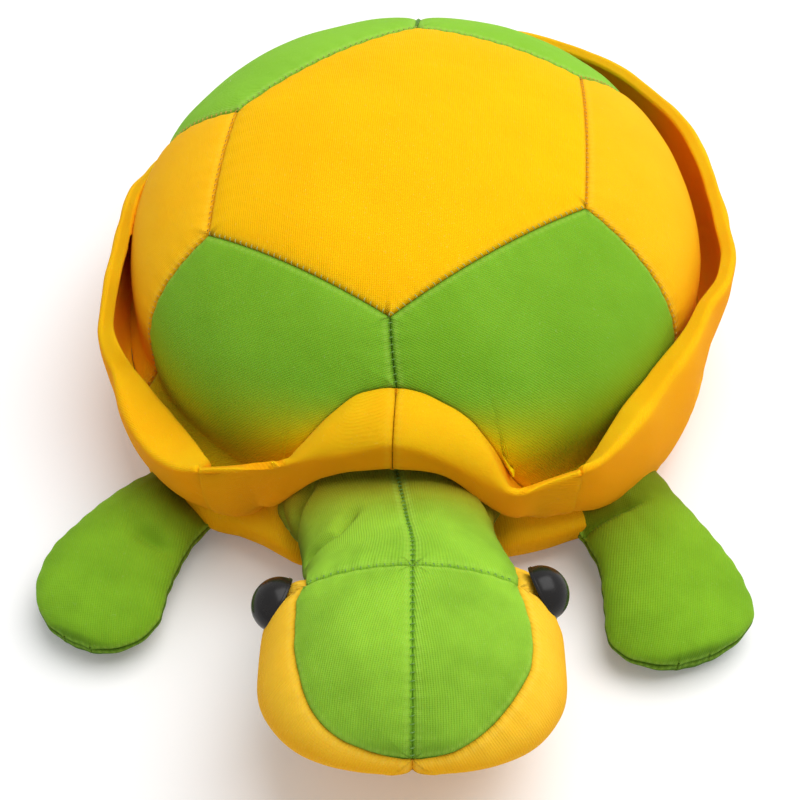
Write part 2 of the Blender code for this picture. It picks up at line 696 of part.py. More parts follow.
def eye_profile():
    """Dome, flange edge, dished base and shank, from the top of the dome to the shank's end."""
    dome = [(EYE_RADIUS * math.sin(turn), EYE_FLANGE - EYE_DISH + EYE_DOME * math.cos(turn))
            for turn in (0, 0.45, 0.85, 1.2, 1.45)]
    rim = [(EYE_RADIUS, EYE_FLANGE - EYE_DISH), (EYE_RADIUS, -EYE_DISH)]
    shank = [(SHANK_RADIUS, 0), (SHANK_RADIUS, -SHANK_LENGTH), (0, -SHANK_LENGTH)]
    return dome + rim + shank


def eye_frame(side):
    """An eye's place on the head's skin and its outward direction."""
    back, up = math.radians(EYE_BACK_DEG), math.radians(EYE_UP_DEG)
    aim = Vector((side * math.sin(back) * math.cos(up), math.cos(back) * math.cos(up),
                  math.sin(up)))
    start = Vector((0, -HEAD_REACH * EYE_AIM_SHARE, -EYE_AIM_DROP))
    return ray_hit(make_skin(head_grid(), True), start, aim)[0], aim


def build_eyes(turn_axis, filling, cheeks):
    """Eyes on the cheeks, with their washers, a shank hole in the cloth and room inside."""
    bore = SHANK_RADIUS + FIT_GAP
    room = WASHER_RADIUS + FIT_GAP
    depth = SHANK_LENGTH + FIT_GAP
    for side, name in ((1, "left"), (-1, "right")):
        place, aim = eye_frame(side)
        facing = aim.to_track_quat("Z", "Y").to_matrix().to_4x4()
        seat = Matrix.Translation(place) @ facing
        eye = turned("eye_" + name, eye_profile(), EYE_SEGMENTS, "black", turn_axis)
        eye.data.transform(Matrix.Translation(place + aim * EYE_RELIEF) @ facing)
        under = -WASHER_DEPTH - WASHER_THICK
        washer_shape = [(bore, -WASHER_DEPTH), (WASHER_RADIUS, -WASHER_DEPTH),
                        (WASHER_RADIUS, under), (bore, under)]
        washer = turned("eye_washer_" + name, washer_shape, EYE_SEGMENTS, "black", turn_axis)
        washer.data.transform(seat)
        cuts = (("shank_hole_cutter_", bore, depth, cheeks[name]),
                ("eye_pocket_cutter_", room, depth, filling))
        for cutter_name, radius, deep, target in cuts:
            shape = [(0, EYE_DOME), (radius, EYE_DOME), (radius, -deep), (0, -deep)]
            cutter = turned(cutter_name + name, shape, EYE_SEGMENTS, None, turn_axis)
            cutter.data.transform(seat)
            boolean(target, hide_cutter(cutter), "DIFFERENCE")


def build_head(turn_axis):
    skin = make_skin(head_grid(), True)
    floor = CLOTH + FIT_GAP - HEAD_HEIGHT
    inner = skin.inside(CLOTH + FIT_GAP).above(floor)
    filling = add_filling("head_filling", inner.capped(), turn_axis)
    first_row, last = KNUCKLE_DEG.index(HEAD_CLOTH_DEG), len(skin.points) - 1
    columns = skin.split.shape[1]
    half = columns // 2
    pieces = (("head_panel_left", 0, BROW_COLUMNS, "green"),
              ("cheek_panel_left", BROW_COLUMNS, half, "yellow"),
              ("cheek_panel_right", half, columns - BROW_COLUMNS, "yellow"),
              ("head_panel_right", columns - BROW_COLUMNS, columns, "green"))
    made = {}
    for name, first_column, last_column, colour in pieces:
        block = skin.part(first_row, last, first_column, last_column)
        made[name] = add_panel(name, block, colour, ("first_column", "last_column"), turn_axis)
    build_eyes(turn_axis, filling,
               {"left": made["cheek_panel_left"], "right": made["cheek_panel_right"]})


def add_knuckle_cutter(pivot):
    """Space for the head's knuckle in the end of the neck."""
    radius = clear_of_facets(KNUCKLE_RADIUS, FIT_GAP)
    height = clear_of_facets(KNUCKLE_HALF_HEIGHT, FIT_GAP)
    cutter = add_ball("knuckle_cutter", (radius, radius, height))
    cutter.data.transform(Matrix.Translation(
        (0, -NECK_REACH, HEAD_HEIGHT + KNUCKLE_LIFT - NOD_HEIGHT)))
    cutter.parent = pivot
    return hide_cutter(cutter)


# Flippers and tail

def blade_point(sizes, along, across, side):
    """Outer face of a blade: side 1 is the top, -1 the underside, along and across in shares."""
    length, root_half, blade_half, thick, bend, drop, power = sizes
    half = root_half + (blade_half - root_half) * ease(along / 0.6)
    half = half * (1 - along ** power) ** (1 / 3)
    swell = ease(along / 0.55) * np.sqrt(np.clip(1 - along ** 4, 0, 1))
    height = CLOTH + SEAM_GAP / 2 + thick * swell * (1 - across ** 2) ** 0.75
    x = length * along + 0 * across
    y = half * across - bend * along ** 2
    z = side * height - drop * along
    z = np.maximum(z, -FLIPPER_HINGE_HEIGHT)
    return np.stack([x, y, z], axis=-1)


def hinge_frame(degrees, skin):
    """Root of a blade just off the belly's wall, facing straight out of it."""
    azimuth = math.radians(degrees)
    inward = Vector((-math.sin(azimuth), math.cos(azimuth), 0))
    start = Vector((0, 0, FLIPPER_HINGE_HEIGHT)) - inward * BELLY_HALF_LENGTH * 2
    place, facing = ray_hit(skin, start, inward)
    if facing.dot(inward) > 0:
        facing = -facing
    out = math.atan2(facing.y, facing.x)
    place += Vector((math.cos(out), math.sin(out), 0)) * ROOT_AWAY
    place.z = FLIPPER_HINGE_HEIGHT
    return place, out


def build_blade(name, degrees, sizes, body):
    """A top and a bottom panel round their stuffing, on an empty at the hinge."""
    place, out = hinge_frame(degrees, body)
    hinge = add_empty(name + "_hinge", place, out)
    flip = np.array((1, -1, 1)) if degrees < 0 else np.array((1, 1, 1))
    rows = np.linspace(0, 1, BLADE_ROWS + 1)[:, None] ** 0.85
    columns = np.sin(np.linspace(-1, 1, BLADE_COLUMNS + 1) * math.pi / 2)[None, :]
    kept = [row for row in range(len(rows))
            if FILL_START_SHARE <= rows[row, 0] <= FILL_END_SHARE]
    cores = []
    for side, part in ((1, "_top_panel"), (-1, "_bottom_panel")):
        skin = make_skin(blade_point(sizes, rows, columns, side) * flip, False)
        if np.sum(skin.normals[..., 2]) * side < 0:
            skin.normals = -skin.normals
        add_panel(name + part, skin, "green", (), parent=hinge)
        cores.append(skin.inside(CLOTH + FIT_GAP).part(kept[0], kept[-1], 1, BLADE_COLUMNS - 1))
    core = np.concatenate([face.points.reshape(-1, 3) for face in cores])
    add_object(name + "_filling", core, layer_faces(cores[0]), "stuffing", hinge)


def build_blades():
    front = (FRONT_LENGTH, FRONT_ROOT_HALF, FRONT_BLADE_HALF, FRONT_THICK, FRONT_BEND,
             FRONT_DROP, BLADE_TIP_POWER)
    rear = (REAR_LENGTH, REAR_ROOT_HALF, REAR_BLADE_HALF, REAR_THICK, REAR_BEND,
            REAR_DROP, BLADE_TIP_POWER)
    tail = (TAIL_LENGTH, TAIL_ROOT_HALF, TAIL_BLADE_HALF, TAIL_THICK, TAIL_BEND,
            TAIL_DROP, TAIL_TIP_POWER)
    body = make_skin(dip_seams(body_grid()), True)
    build_blade("front_flipper_left", FRONT_DEG, front, body)
    build_blade("front_flipper_right", -FRONT_DEG, front, body)
    build_blade("rear_flipper_left", REAR_DEG, rear, body)
    build_blade("rear_flipper_right", -REAR_DEG, rear, body)
    build_blade("tail", TAIL_DEG, tail, body)


def build_head_and_neck():
    lean = math.radians(NECK_TURN_DEG)
    nod = add_empty("neck_nod_axis", (0, -NECK_ROOT, NOD_HEIGHT), lean)
    build_neck(nod, add_knuckle_cutter(nod))
    turn_axis = add_empty("head_turn_axis", (0, -NECK_REACH, HEAD_HEIGHT - NOD_HEIGHT),
                          -math.radians(HEAD_YAW_DEG), nod)
    build_head(turn_axis)


def main():
    clear_scene()
    build_body()
    build_brim()
    build_head_and_neck()
    build_blades()
    bpy.context.view_layer.update()


main()
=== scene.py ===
import math

import bmesh
import bpy
import numpy as np
from mathutils import Matrix


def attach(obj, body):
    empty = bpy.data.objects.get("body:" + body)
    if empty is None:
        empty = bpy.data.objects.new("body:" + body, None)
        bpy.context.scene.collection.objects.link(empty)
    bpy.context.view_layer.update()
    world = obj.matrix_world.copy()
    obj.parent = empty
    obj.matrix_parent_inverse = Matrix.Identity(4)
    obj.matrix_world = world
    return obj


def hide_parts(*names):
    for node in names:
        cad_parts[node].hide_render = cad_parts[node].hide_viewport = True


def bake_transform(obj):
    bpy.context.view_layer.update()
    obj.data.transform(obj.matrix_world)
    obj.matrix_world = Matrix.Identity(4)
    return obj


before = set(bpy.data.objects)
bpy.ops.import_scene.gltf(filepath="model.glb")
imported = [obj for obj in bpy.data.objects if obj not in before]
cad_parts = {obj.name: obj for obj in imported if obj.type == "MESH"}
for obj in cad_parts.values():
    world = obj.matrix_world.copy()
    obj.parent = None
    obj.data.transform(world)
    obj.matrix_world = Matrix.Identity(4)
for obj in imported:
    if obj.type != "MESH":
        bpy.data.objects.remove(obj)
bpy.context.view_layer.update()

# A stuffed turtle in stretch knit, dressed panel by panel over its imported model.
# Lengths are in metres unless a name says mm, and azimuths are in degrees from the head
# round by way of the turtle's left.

mm = 0.001


# Shape tools

# a vector divided by its own length
def unit(vectors):
    return vectors / np.maximum(np.linalg.norm(vectors, axis=-1, keepdims=True), 1e-12)


upAxis = np.array((0, 0, 1.0))


# azimuth in degrees between -180 and 180
def signedDegrees(azimuth):
    return (np.degrees(azimuth) + 180) % 360 - 180


# 3t^2 - 2t^3 between 0 and 1
def ease(share):
    share = np.clip(share, 0, 1)
    return share * share * (3 - 2 * share)


# shares from 0 to 1 whose steps shrink exponentially toward the ends that carry a seam
def gradedShares(count, low=1.0, high=1.0, crowding=0.86, zone=0.07):
    middle = (np.arange(count) + 0.5) / count
    step = 1 - crowding * (low * np.exp(-middle / zone) + high * np.exp((middle - 1) / zone))
    walked = np.concatenate([[0], np.cumsum(step)])
    return walked / walked[-1]


# cubic between neighbouring knots, each knot's slope taken from both of its neighbours; level
# at a crest or a hollow and at most twice the gentler neighbour's, so that it never overshoots
def throughKnots(knots, values, at):
    knots, values, at = (np.asarray(item, float) for item in (knots, values, at))
    slopes = np.gradient(values, knots, axis=0)
    steps = (np.diff(values, axis=0).T / np.diff(knots)).T
    gentle = 2 * np.minimum(np.abs(steps[:-1]), np.abs(steps[1:]))
    gentle[steps[:-1] * steps[1:] <= 0] = 0
    slopes[1:-1] = np.clip(slopes[1:-1], -gentle, gentle)
    low = np.clip(np.searchsorted(knots, at, side="right") - 1, 0, len(knots) - 2)
    width = knots[low + 1] - knots[low]
    t = np.clip((at - knots[low]) / width, 0, 1)
    if values.ndim > 1:
        t, width = t[..., None], width[..., None]
    return (values[low] * (1 + 2 * t) * (1 - t) ** 2 + slopes[low] * width * t * (1 - t) ** 2
            + values[low + 1] * t * t * (3 - 2 * t) + slopes[low + 1] * width * t * t * (t - 1))


# closed line given by azimuth, reach and height: straight between its points every quarter
# of a degree, then averaged under a bell curve some degrees wide
def roundLine(table, azimuth, soften=1.1):
    table = np.array(sorted(table), float)
    knots = np.concatenate([table[:, 0] - 360, table[:, 0], table[:, 0] + 360])
    even = np.arange(0, 360, 0.25)
    bell = np.exp(-0.5 * (np.minimum(even, 360 - even) / soften) ** 2)
    bell = np.fft.rfft(bell / bell.sum())
    out = []
    for column in (1, 2):
        straight = np.interp(even, knots, np.tile(table[:, column], 3))
        smooth = np.fft.irfft(np.fft.rfft(straight) * bell, len(even))
        out.append(np.interp(np.mod(azimuth, 360), np.append(even, 360),
                             np.append(smooth, smooth[0])) * mm)
    return out


# unit normals of a grid: the cross product of its differences along rows and columns;
# where a row has shrunk to a pole, the mean of the row beside it
def gridNormals(points, ring=False):
    down = np.gradient(points, axis=0)
    if ring:
        around = points[:, :-1]
        across = np.roll(around, -1, axis=1) - np.roll(around, 1, axis=1)
        across = np.concatenate([across, across[:, :1]], axis=1)
    else:
        across = np.gradient(points, axis=1)
    normals = unit(np.cross(down, across))
    for row, beside in ((0, 1), (-1, -2)):
        if np.ptp(points[row], axis=0).max() < 1e-6:
            normals[row] = unit(normals[beside].mean(axis=0))
    return normals


# distance from each point to the nearest seam line, and the length run along that line there:
# the foot of the perpendicular on every straight piece, held between its ends
def seamField(points, lines):
    flat = points.reshape(-1, 3).astype(np.float32)
    best = np.full(len(flat), 1.0, np.float32)
    run = np.zeros(len(flat), np.float32)
    for line in lines:
        start = line[:-1].astype(np.float32)
        leg = (line[1:] - line[:-1]).astype(np.float32)
        square = np.maximum((leg ** 2).sum(axis=1), 1e-14)
        walked = np.concatenate([[0], np.cumsum(np.sqrt(square))])[:-1]
        for first in range(0, len(flat), 40000):
            part = slice(first, first + 40000)
            toPoint = flat[part, None] - start
            share = np.clip((toPoint * leg).sum(axis=2) / square, 0, 1)
            gap = np.linalg.norm(toPoint - share[..., None] * leg, axis=2)
            near = gap.argmin(axis=1)
            here = np.arange(len(near))
            gap, share = gap[here, near], share[here, near]
            closer = gap < best[part]
            best[part] = np.where(closer, gap, best[part])
            run[part] = np.where(closer, walked[near] + share * np.sqrt(square[near]), run[part])
    shape = points.shape[:-1]
    return best.reshape(shape).astype(float), run.reshape(shape).astype(float)


lumpWaves = np.random.default_rng(11)
lumpDirections = unit(lumpWaves.normal(size=(14, 3)))
lumpLengths = np.geomspace(0.017, 0.070, 14)
lumpPhases = lumpWaves.uniform(0, 2 * math.pi, 14)


# uneven filling: fourteen plane sine waves of different lengths and directions added up,
# each as high as it is long
def lumps(points):
    phase = points @ (lumpDirections / lumpLengths[:, None] * 2 * math.pi).T + lumpPhases
    return (np.sin(phase) * lumpLengths).sum(axis=-1) / lumpLengths.sum() * 2


sewing = {
    "grooveDepth": 1.5 * mm,      # how deep the thread pulls a seam in
    "grooveWidth": 0.9 * mm,
    "dipDepth": 0.7 * mm,         # the wider dip beside it
    "dipWidth": 5 * mm,
    "puff": 1.0 * mm,             # fullness of a panel away from its seams
    "puffWidth": 15 * mm,
    "lump": 0.45 * mm,
    "pucker": 0.28 * mm,          # gathers that run square to a seam
    "puckerPitch": 8.5 * mm,
    "puckerReach": 6 * mm,
    "lining": 2.6 * mm,           # depth of the cloth's inner face
    "lumpFade": 0.008,            # lumps grow in over this distance from a seam
    "stitchFade": 0.0012,         # and gathers over this one
    "wanders": ((2.2, 41, 0), (1.3, 97, 1)),    # size, waves and phase of uneven gathers
}


# how far a sewn panel stands off its plain surface: fullness that grows with the distance
# from the seam, less a sharp groove and a wide dip that fade with it, plus lumps and gathers
def fullness(dist, run, points, sewn):
    rise = sewn["puff"] * (1 - np.exp(-dist / sewn["puffWidth"]))
    rise = rise - sewn["grooveDepth"] * np.exp(-dist / sewn["grooveWidth"])
    rise = rise - sewn["dipDepth"] * np.exp(-(dist / sewn["dipWidth"]) ** 2)
    rise = rise + sewn["lump"] * lumps(points) * (1 - np.exp(-dist / sewn["lumpFade"]))
    wander = sum(size * np.sin(run * waves + phase) for size, waves, phase in sewn["wanders"])
    gather = np.sin(run / sewn["puckerPitch"] * 2 * math.pi + wander)
    fade = np.exp(-dist / sewn["puckerReach"]) * (1 - np.exp(-dist / sewn["stitchFade"]))
    return rise + sewn["pucker"] * gather * fade


def gridFaces(rows, columns):
    grid = np.arange(rows * columns).reshape(rows, columns)
    quads = np.stack([grid[:-1, :-1], grid[:-1, 1:], grid[1:, 1:], grid[1:, :-1]], axis=-1)
    return quads.reshape(-1, 4)


# faces between an outer grid and an inner one of the same size, with rims round the border
def layerFaces(rows, columns, poleFirst, poleLast, ring):
    grid = np.arange(rows * columns).reshape(rows, columns)
    size = rows * columns
    quads = gridFaces(rows, columns)
    faces = [quads, quads[:, ::-1] + size]
    rims = ([] if poleFirst else [grid[0]]) + ([] if poleLast else [grid[-1]])
    rims += [] if ring else [grid[:, 0], grid[:, -1]]
    for rim in rims:
        faces.append(np.stack([rim[:-1], rim[1:], rim[1:] + size, rim[:-1] + size], axis=-1))
    return np.concatenate(faces)


# points and faces put into a mesh; equal points are merged and the faces turned outward
def addPiece(name, points, faces, material, fields=None, sharpDeg=50):
    mesh = bpy.data.meshes.new(name)
    mesh.from_pydata(points.reshape(-1, 3).tolist(), [], faces.tolist())
    for field, values in (fields or {}).items():
        kind = "FLOAT_VECTOR" if values.shape[-1] == 3 and values.ndim > 1 else "FLOAT"
        attribute = mesh.attributes.new(field, kind, "POINT")
        key = "vector" if kind == "FLOAT_VECTOR" else "value"
        attribute.data.foreach_set(key, np.ascontiguousarray(values, np.float32).ravel())
    work = bmesh.new()
    work.from_mesh(mesh)
    bmesh.ops.remove_doubles(work, verts=work.verts, dist=2e-6)
    bmesh.ops.recalc_face_normals(work, faces=work.faces)
    work.to_mesh(mesh)
    work.free()
    mesh.shade_smooth()
    mesh.set_sharp_from_angle(angle=math.radians(sharpDeg))
    mesh.materials.append(material)
    piece = bpy.data.objects.new(name, mesh)
    bpy.context.collection.objects.link(piece)
    return piece


# coordinates on the cloth before it was sewn: the points seen square to the panel, turned by
# the direction of its grain
def clothPlace(points, normals, grainDeg):
    facing = unit(normals.reshape(-1, 3).mean(axis=0))
    side = unit(np.cross((0.02, -0.05, 1.0), facing) if abs(facing[2]) < 0.97
                else np.array((1.0, 0, 0)))
    up = np.cross(facing, side)
    turn = math.radians(grainDeg)
    u, v = points @ side, points @ up
    return np.stack([u * math.cos(turn) - v * math.sin(turn),
                     u * math.sin(turn) + v * math.cos(turn), 0 * u], axis=-1)


shading = {
    # reach, top and fade of the painted bounced light and shade beside the brim
    "bounceReach": 0.017, "bounceTop": 0.060, "bounceFade": 0.024,
    "upFrom": 0.05, "upOver": 0.75,     # a normal's height at which cloth counts as facing up
}


# share of painted light by how far the cloth faces up; cloth facing down gets painted shade
def facingUp(normals):
    return ease((normals[..., 2] - shading["upFrom"]) / shading["upOver"])


# what a cloth's material reads at each point: distance to the seam and run along it, place on
# the cloth, how far the cloth faces up, which sets painted shade on cloth facing down, and how
# near it is to a line along the brim, beside which bounced light and shade are painted; that
# fades by e over the bounce's reach and away above its top
def clothFields(dist, run, place, normals, bounceShadeLines, points):
    near = np.zeros(dist.shape)
    if bounceShadeLines is not None:
        near = np.exp(-seamField(points, bounceShadeLines)[0] / shading["bounceReach"])
        above = (points[..., 2] - shading["bounceTop"]) / shading["bounceFade"]
        near = near * (1 - ease(above))
    upward = facingUp(normals)
    return {"seamDist": np.tile(dist.ravel(), 2), "seamRun": np.tile(run.ravel(), 2),
            "clothPlace": np.tile(place.reshape(-1, 3), (2, 1)),
            "paintedLightShare": np.tile(upward.ravel(), 2), "brimBounceShade": np.tile(near.ravel(), 2)}


# one panel of cloth: its plain surface is lifted along the normals by its fullness, and its
# inner face follows the plain surface further in
def sewnPanel(name, points, material, seams, away, ring=False, sewn=sewing, grainDeg=0,
              place=None, bounceShadeLines=None, bareSeams=()):
    normals = gridNormals(points, ring)
    if np.sum(normals * (points - np.asarray(away))) < 0:
        normals = -normals
    dist, run = seamField(points, seams + list(bareSeams))
    outer = points + normals * fullness(dist, run, points, sewn)[..., None]
    if len(bareSeams):            # seams hidden in a fold get no painted groove shade and no painted ridge highlight
        dist, run = seamField(points, seams)
    inner = points - normals * sewn["lining"]
    if place is None:
        place = clothPlace(points, normals, grainDeg)
    rows, columns = points.shape[:2]
    poles = [np.ptp(points[row], axis=0).max() < 1e-6 for row in (0, -1)]
    fields = clothFields(dist, run, place, normals, bounceShadeLines, points)
    both = np.concatenate([outer.reshape(-1, 3), inner.reshape(-1, 3)])
    return addPiece(name, both, layerFaces(rows, columns, *poles, ring), material, fields)


# Materials

def joined(tree, value, socket):
    if isinstance(value, bpy.types.NodeSocket):
        tree.links.new(value, socket)
    else:
        socket.default_value = value


def calc(tree, operation, *values):
    node = tree.nodes.new("ShaderNodeMath")
    node.operation = operation
    for value, socket in zip(values, node.inputs):
        joined(tree, value, socket)
    return node.outputs[0]


def blendColour(tree, kind, share, first, second):
    node = tree.nodes.new("ShaderNodeMix")
    node.data_type, node.blend_type = "RGBA", kind
    joined(tree, share, node.inputs[0])
    joined(tree, first, node.inputs[6])
    joined(tree, second, node.inputs[7])
    return node.outputs[2]


def noiseOf(tree, place, scale, detail=2.0, rough=0.5):
    node = tree.nodes.new("ShaderNodeTexNoise")
    tree.links.new(place, node.inputs["Vector"])
    node.inputs["Scale"].default_value = scale
    node.inputs["Detail"].default_value = detail
    node.inputs["Roughness"].default_value = rough
    return node.outputs["Fac"]


# a node group with its named inputs and outputs, and the nodes at both of its ends
def newGroup(name, inputs, outputs):
    tree = bpy.data.node_groups.new(name, "ShaderNodeTree")
    for label, kind, value in inputs:
        socket = tree.interface.new_socket(label, in_out="INPUT", socket_type=kind)
        if value is not None:
            socket.default_value = value
    for label, kind in outputs:
        tree.interface.new_socket(label, in_out="OUTPUT", socket_type=kind)
    start = tree.nodes.new("NodeGroupInput").outputs
    end = tree.nodes.new("NodeGroupOutput").inputs
    return tree, start, end


knitLook = {
    "strayScale": 70, "stray": 5.0,           # how far the ribs wander, in radians
    "courses": 1.3, "courseShare": 0.35,      # courses to a rib, and their height to a rib's
    "lintScale": 900, "lintHeight": 0.10, "softScale": 120, "softHeight": 0.32,
    "dyeScale": 32, "dyeFrom": 0.36, "dyeGain": 3.2,
    "fuzzFrom": 0.66, "fuzzShare": 0.16, "fuzzColour": (0.30, 0.30, 0.22, 1),
    "smooth": 0.74, "smoothRange": 0.16,
}


# knit loops: ribs are a sine across the cloth, bent a little by noise, crossed by finer
# courses; broad noise tints the dye, fine noise adds lint; height is in millimetres; the deep
# colour also paints shade in the rib valleys and on cloth that faces down
def makeKnitGroup():
    look = knitLook
    tree, start, end = newGroup(
        "stretchKnit",
        [("Point", "NodeSocketVector", None), ("Place", "NodeSocketVector", None),
         ("Base", "NodeSocketColor", (1, 1, 1, 1)), ("Deep Dye And Shade", "NodeSocketColor", (1, 1, 1, 1)),
         ("Rib Pitch", "NodeSocketFloat", 0.00085), ("Rib Height", "NodeSocketFloat", 0.05),
         ("Mottle", "NodeSocketFloat", 0.35), ("Painted Light Share", "NodeSocketFloat", 1.0)],
        [("Color", "NodeSocketColor"), ("Roughness", "NodeSocketFloat"),
         ("Height", "NodeSocketFloat")])
    split = tree.nodes.new("ShaderNodeSeparateXYZ")
    tree.links.new(start["Place"], split.inputs[0])
    bend = calc(tree, "MULTIPLY", noiseOf(tree, start["Point"], look["strayScale"], 2),
                look["stray"])
    across = calc(tree, "DIVIDE", split.outputs["X"], start["Rib Pitch"])
    along = calc(tree, "DIVIDE", split.outputs["Y"], start["Rib Pitch"])
    rib = calc(tree, "SINE", calc(tree, "MULTIPLY_ADD", across, 2 * math.pi, bend))
    course = calc(tree, "SINE", calc(tree, "MULTIPLY_ADD", along, 2 * look["courses"] * math.pi,
                                        bend))
    loop = calc(tree, "MULTIPLY_ADD", course, look["courseShare"], rib)
    lint = noiseOf(tree, start["Point"], look["lintScale"], 3, 0.7)
    soft = noiseOf(tree, start["Point"], look["softScale"], 3, 0.6)
    height = calc(tree, "MULTIPLY", loop, start["Rib Height"])
    height = calc(tree, "MULTIPLY_ADD", lint, look["lintHeight"], height)
    height = calc(tree, "MULTIPLY_ADD", soft, look["softHeight"], height)
    dye = noiseOf(tree, start["Point"], look["dyeScale"], 4, 0.55)
    dye = calc(tree, "MULTIPLY", calc(tree, "SUBTRACT", dye, look["dyeFrom"]), look["dyeGain"])
    share = tree.nodes.new("ShaderNodeClamp")
    tree.links.new(dye, share.inputs[0])
    share = calc(tree, "MULTIPLY", share.outputs[0], start["Mottle"])
    # cloth facing down takes the deep colour: painted shade
    paintedDownShade = calc(tree, "SUBTRACT", 1.0, start["Painted Light Share"])
    share = calc(tree, "MAXIMUM", share, paintedDownShade)
    colour = blendColour(tree, "MIX", share, start["Base"], start["Deep Dye And Shade"])
    # rib valleys darkened toward the deep colour: painted shade
    valleyShade = calc(tree, "MULTIPLY_ADD", loop, -0.045, 0.05)
    colour = blendColour(tree, "MULTIPLY", valleyShade, colour, start["Deep Dye And Shade"])
    fuzz = calc(tree, "MULTIPLY", calc(tree, "GREATER_THAN", lint, look["fuzzFrom"]),
                look["fuzzShare"])
    colour = blendColour(tree, "SCREEN", fuzz, colour, look["fuzzColour"])
    tree.links.new(colour, end["Color"])
    tree.links.new(calc(tree, "MULTIPLY_ADD", soft, look["smoothRange"], look["smooth"]),
                   end["Roughness"])
    tree.links.new(height, end["Height"])
    return tree


# beside a seam: a dark line of painted shade in the seam's groove that fades by e in 0.6 mm,
# a painted highlight on the ridge a little way off, and needle puckers that follow the stitches
# along the seam
def makeSeamGroup():
    tree, start, end = newGroup(
        "sewnEdge",
        [("Color", "NodeSocketColor", (1, 1, 1, 1)), ("Distance", "NodeSocketFloat", 1.0),
         ("Run", "NodeSocketFloat", 0.0), ("Stitch Pitch", "NodeSocketFloat", 0.0028),
         ("Line Color", "NodeSocketColor", (0, 0, 0, 1)), ("Line", "NodeSocketFloat", 0.7),
         ("Ridge Color", "NodeSocketColor", (1, 1, 1, 1)), ("Ridge Highlight", "NodeSocketFloat", 0.2),
         ("Pucker Height", "NodeSocketFloat", 0.10)],
        [("Color", "NodeSocketColor"), ("Height", "NodeSocketFloat")])

    def fading(width):
        return calc(tree, "EXPONENT", calc(tree, "DIVIDE", start["Distance"], -width))

    off = calc(tree, "DIVIDE", calc(tree, "SUBTRACT", start["Distance"], 0.0019), 0.0011)
    band = calc(tree, "EXPONENT", calc(tree, "MULTIPLY", calc(tree, "MULTIPLY", off, off), -1))
    wave = calc(tree, "MULTIPLY", calc(tree, "DIVIDE", start["Run"], start["Stitch Pitch"]),
                2 * math.pi)
    wave = calc(tree, "SINE", wave)
    pucker = calc(tree, "MULTIPLY", calc(tree, "MULTIPLY", wave, fading(0.0021)),
                  start["Pucker Height"])
    # pale ridge beside the seam: a painted highlight, notched at each stitch
    notch = calc(tree, "MULTIPLY_ADD", calc(tree, "MULTIPLY", wave, band), 0.35, band)
    colour = blendColour(tree, "MIX", calc(tree, "MULTIPLY", notch, start["Ridge Highlight"]),
                         start["Color"], start["Ridge Color"])
    # painted shade in the seam's groove
    grooveShade = calc(tree, "MULTIPLY", fading(0.0006), start["Line"])
    colour = blendColour(tree, "MIX", grooveShade, colour, start["Line Color"])
    tree.links.new(colour, end["Color"])
    tree.links.new(pucker, end["Height"])
    return tree


knitGroup = makeKnitGroup()
seamGroup = makeSeamGroup()


def newMaterial(name):
    material = bpy.data.materials.new(name)
    material.use_nodes = True
    tree = material.node_tree
    return material, tree, tree.nodes["Principled BSDF"]


def place3(tree):
    return tree.nodes.new("ShaderNodeTexCoord").outputs["Object"]


def bumpInto(tree, shader, height, distance=mm, strength=1.0):
    bump = tree.nodes.new("ShaderNodeBump")
    bump.inputs["Distance"].default_value = distance
    bump.inputs["Strength"].default_value = strength
    tree.links.new(height, bump.inputs["Height"])
    tree.links.new(bump.outputs["Normal"], shader.inputs["Normal"])


def readField(tree, name, output):
    node = tree.nodes.new("ShaderNodeAttribute")
    node.attribute_name = name
    return node.outputs[output]


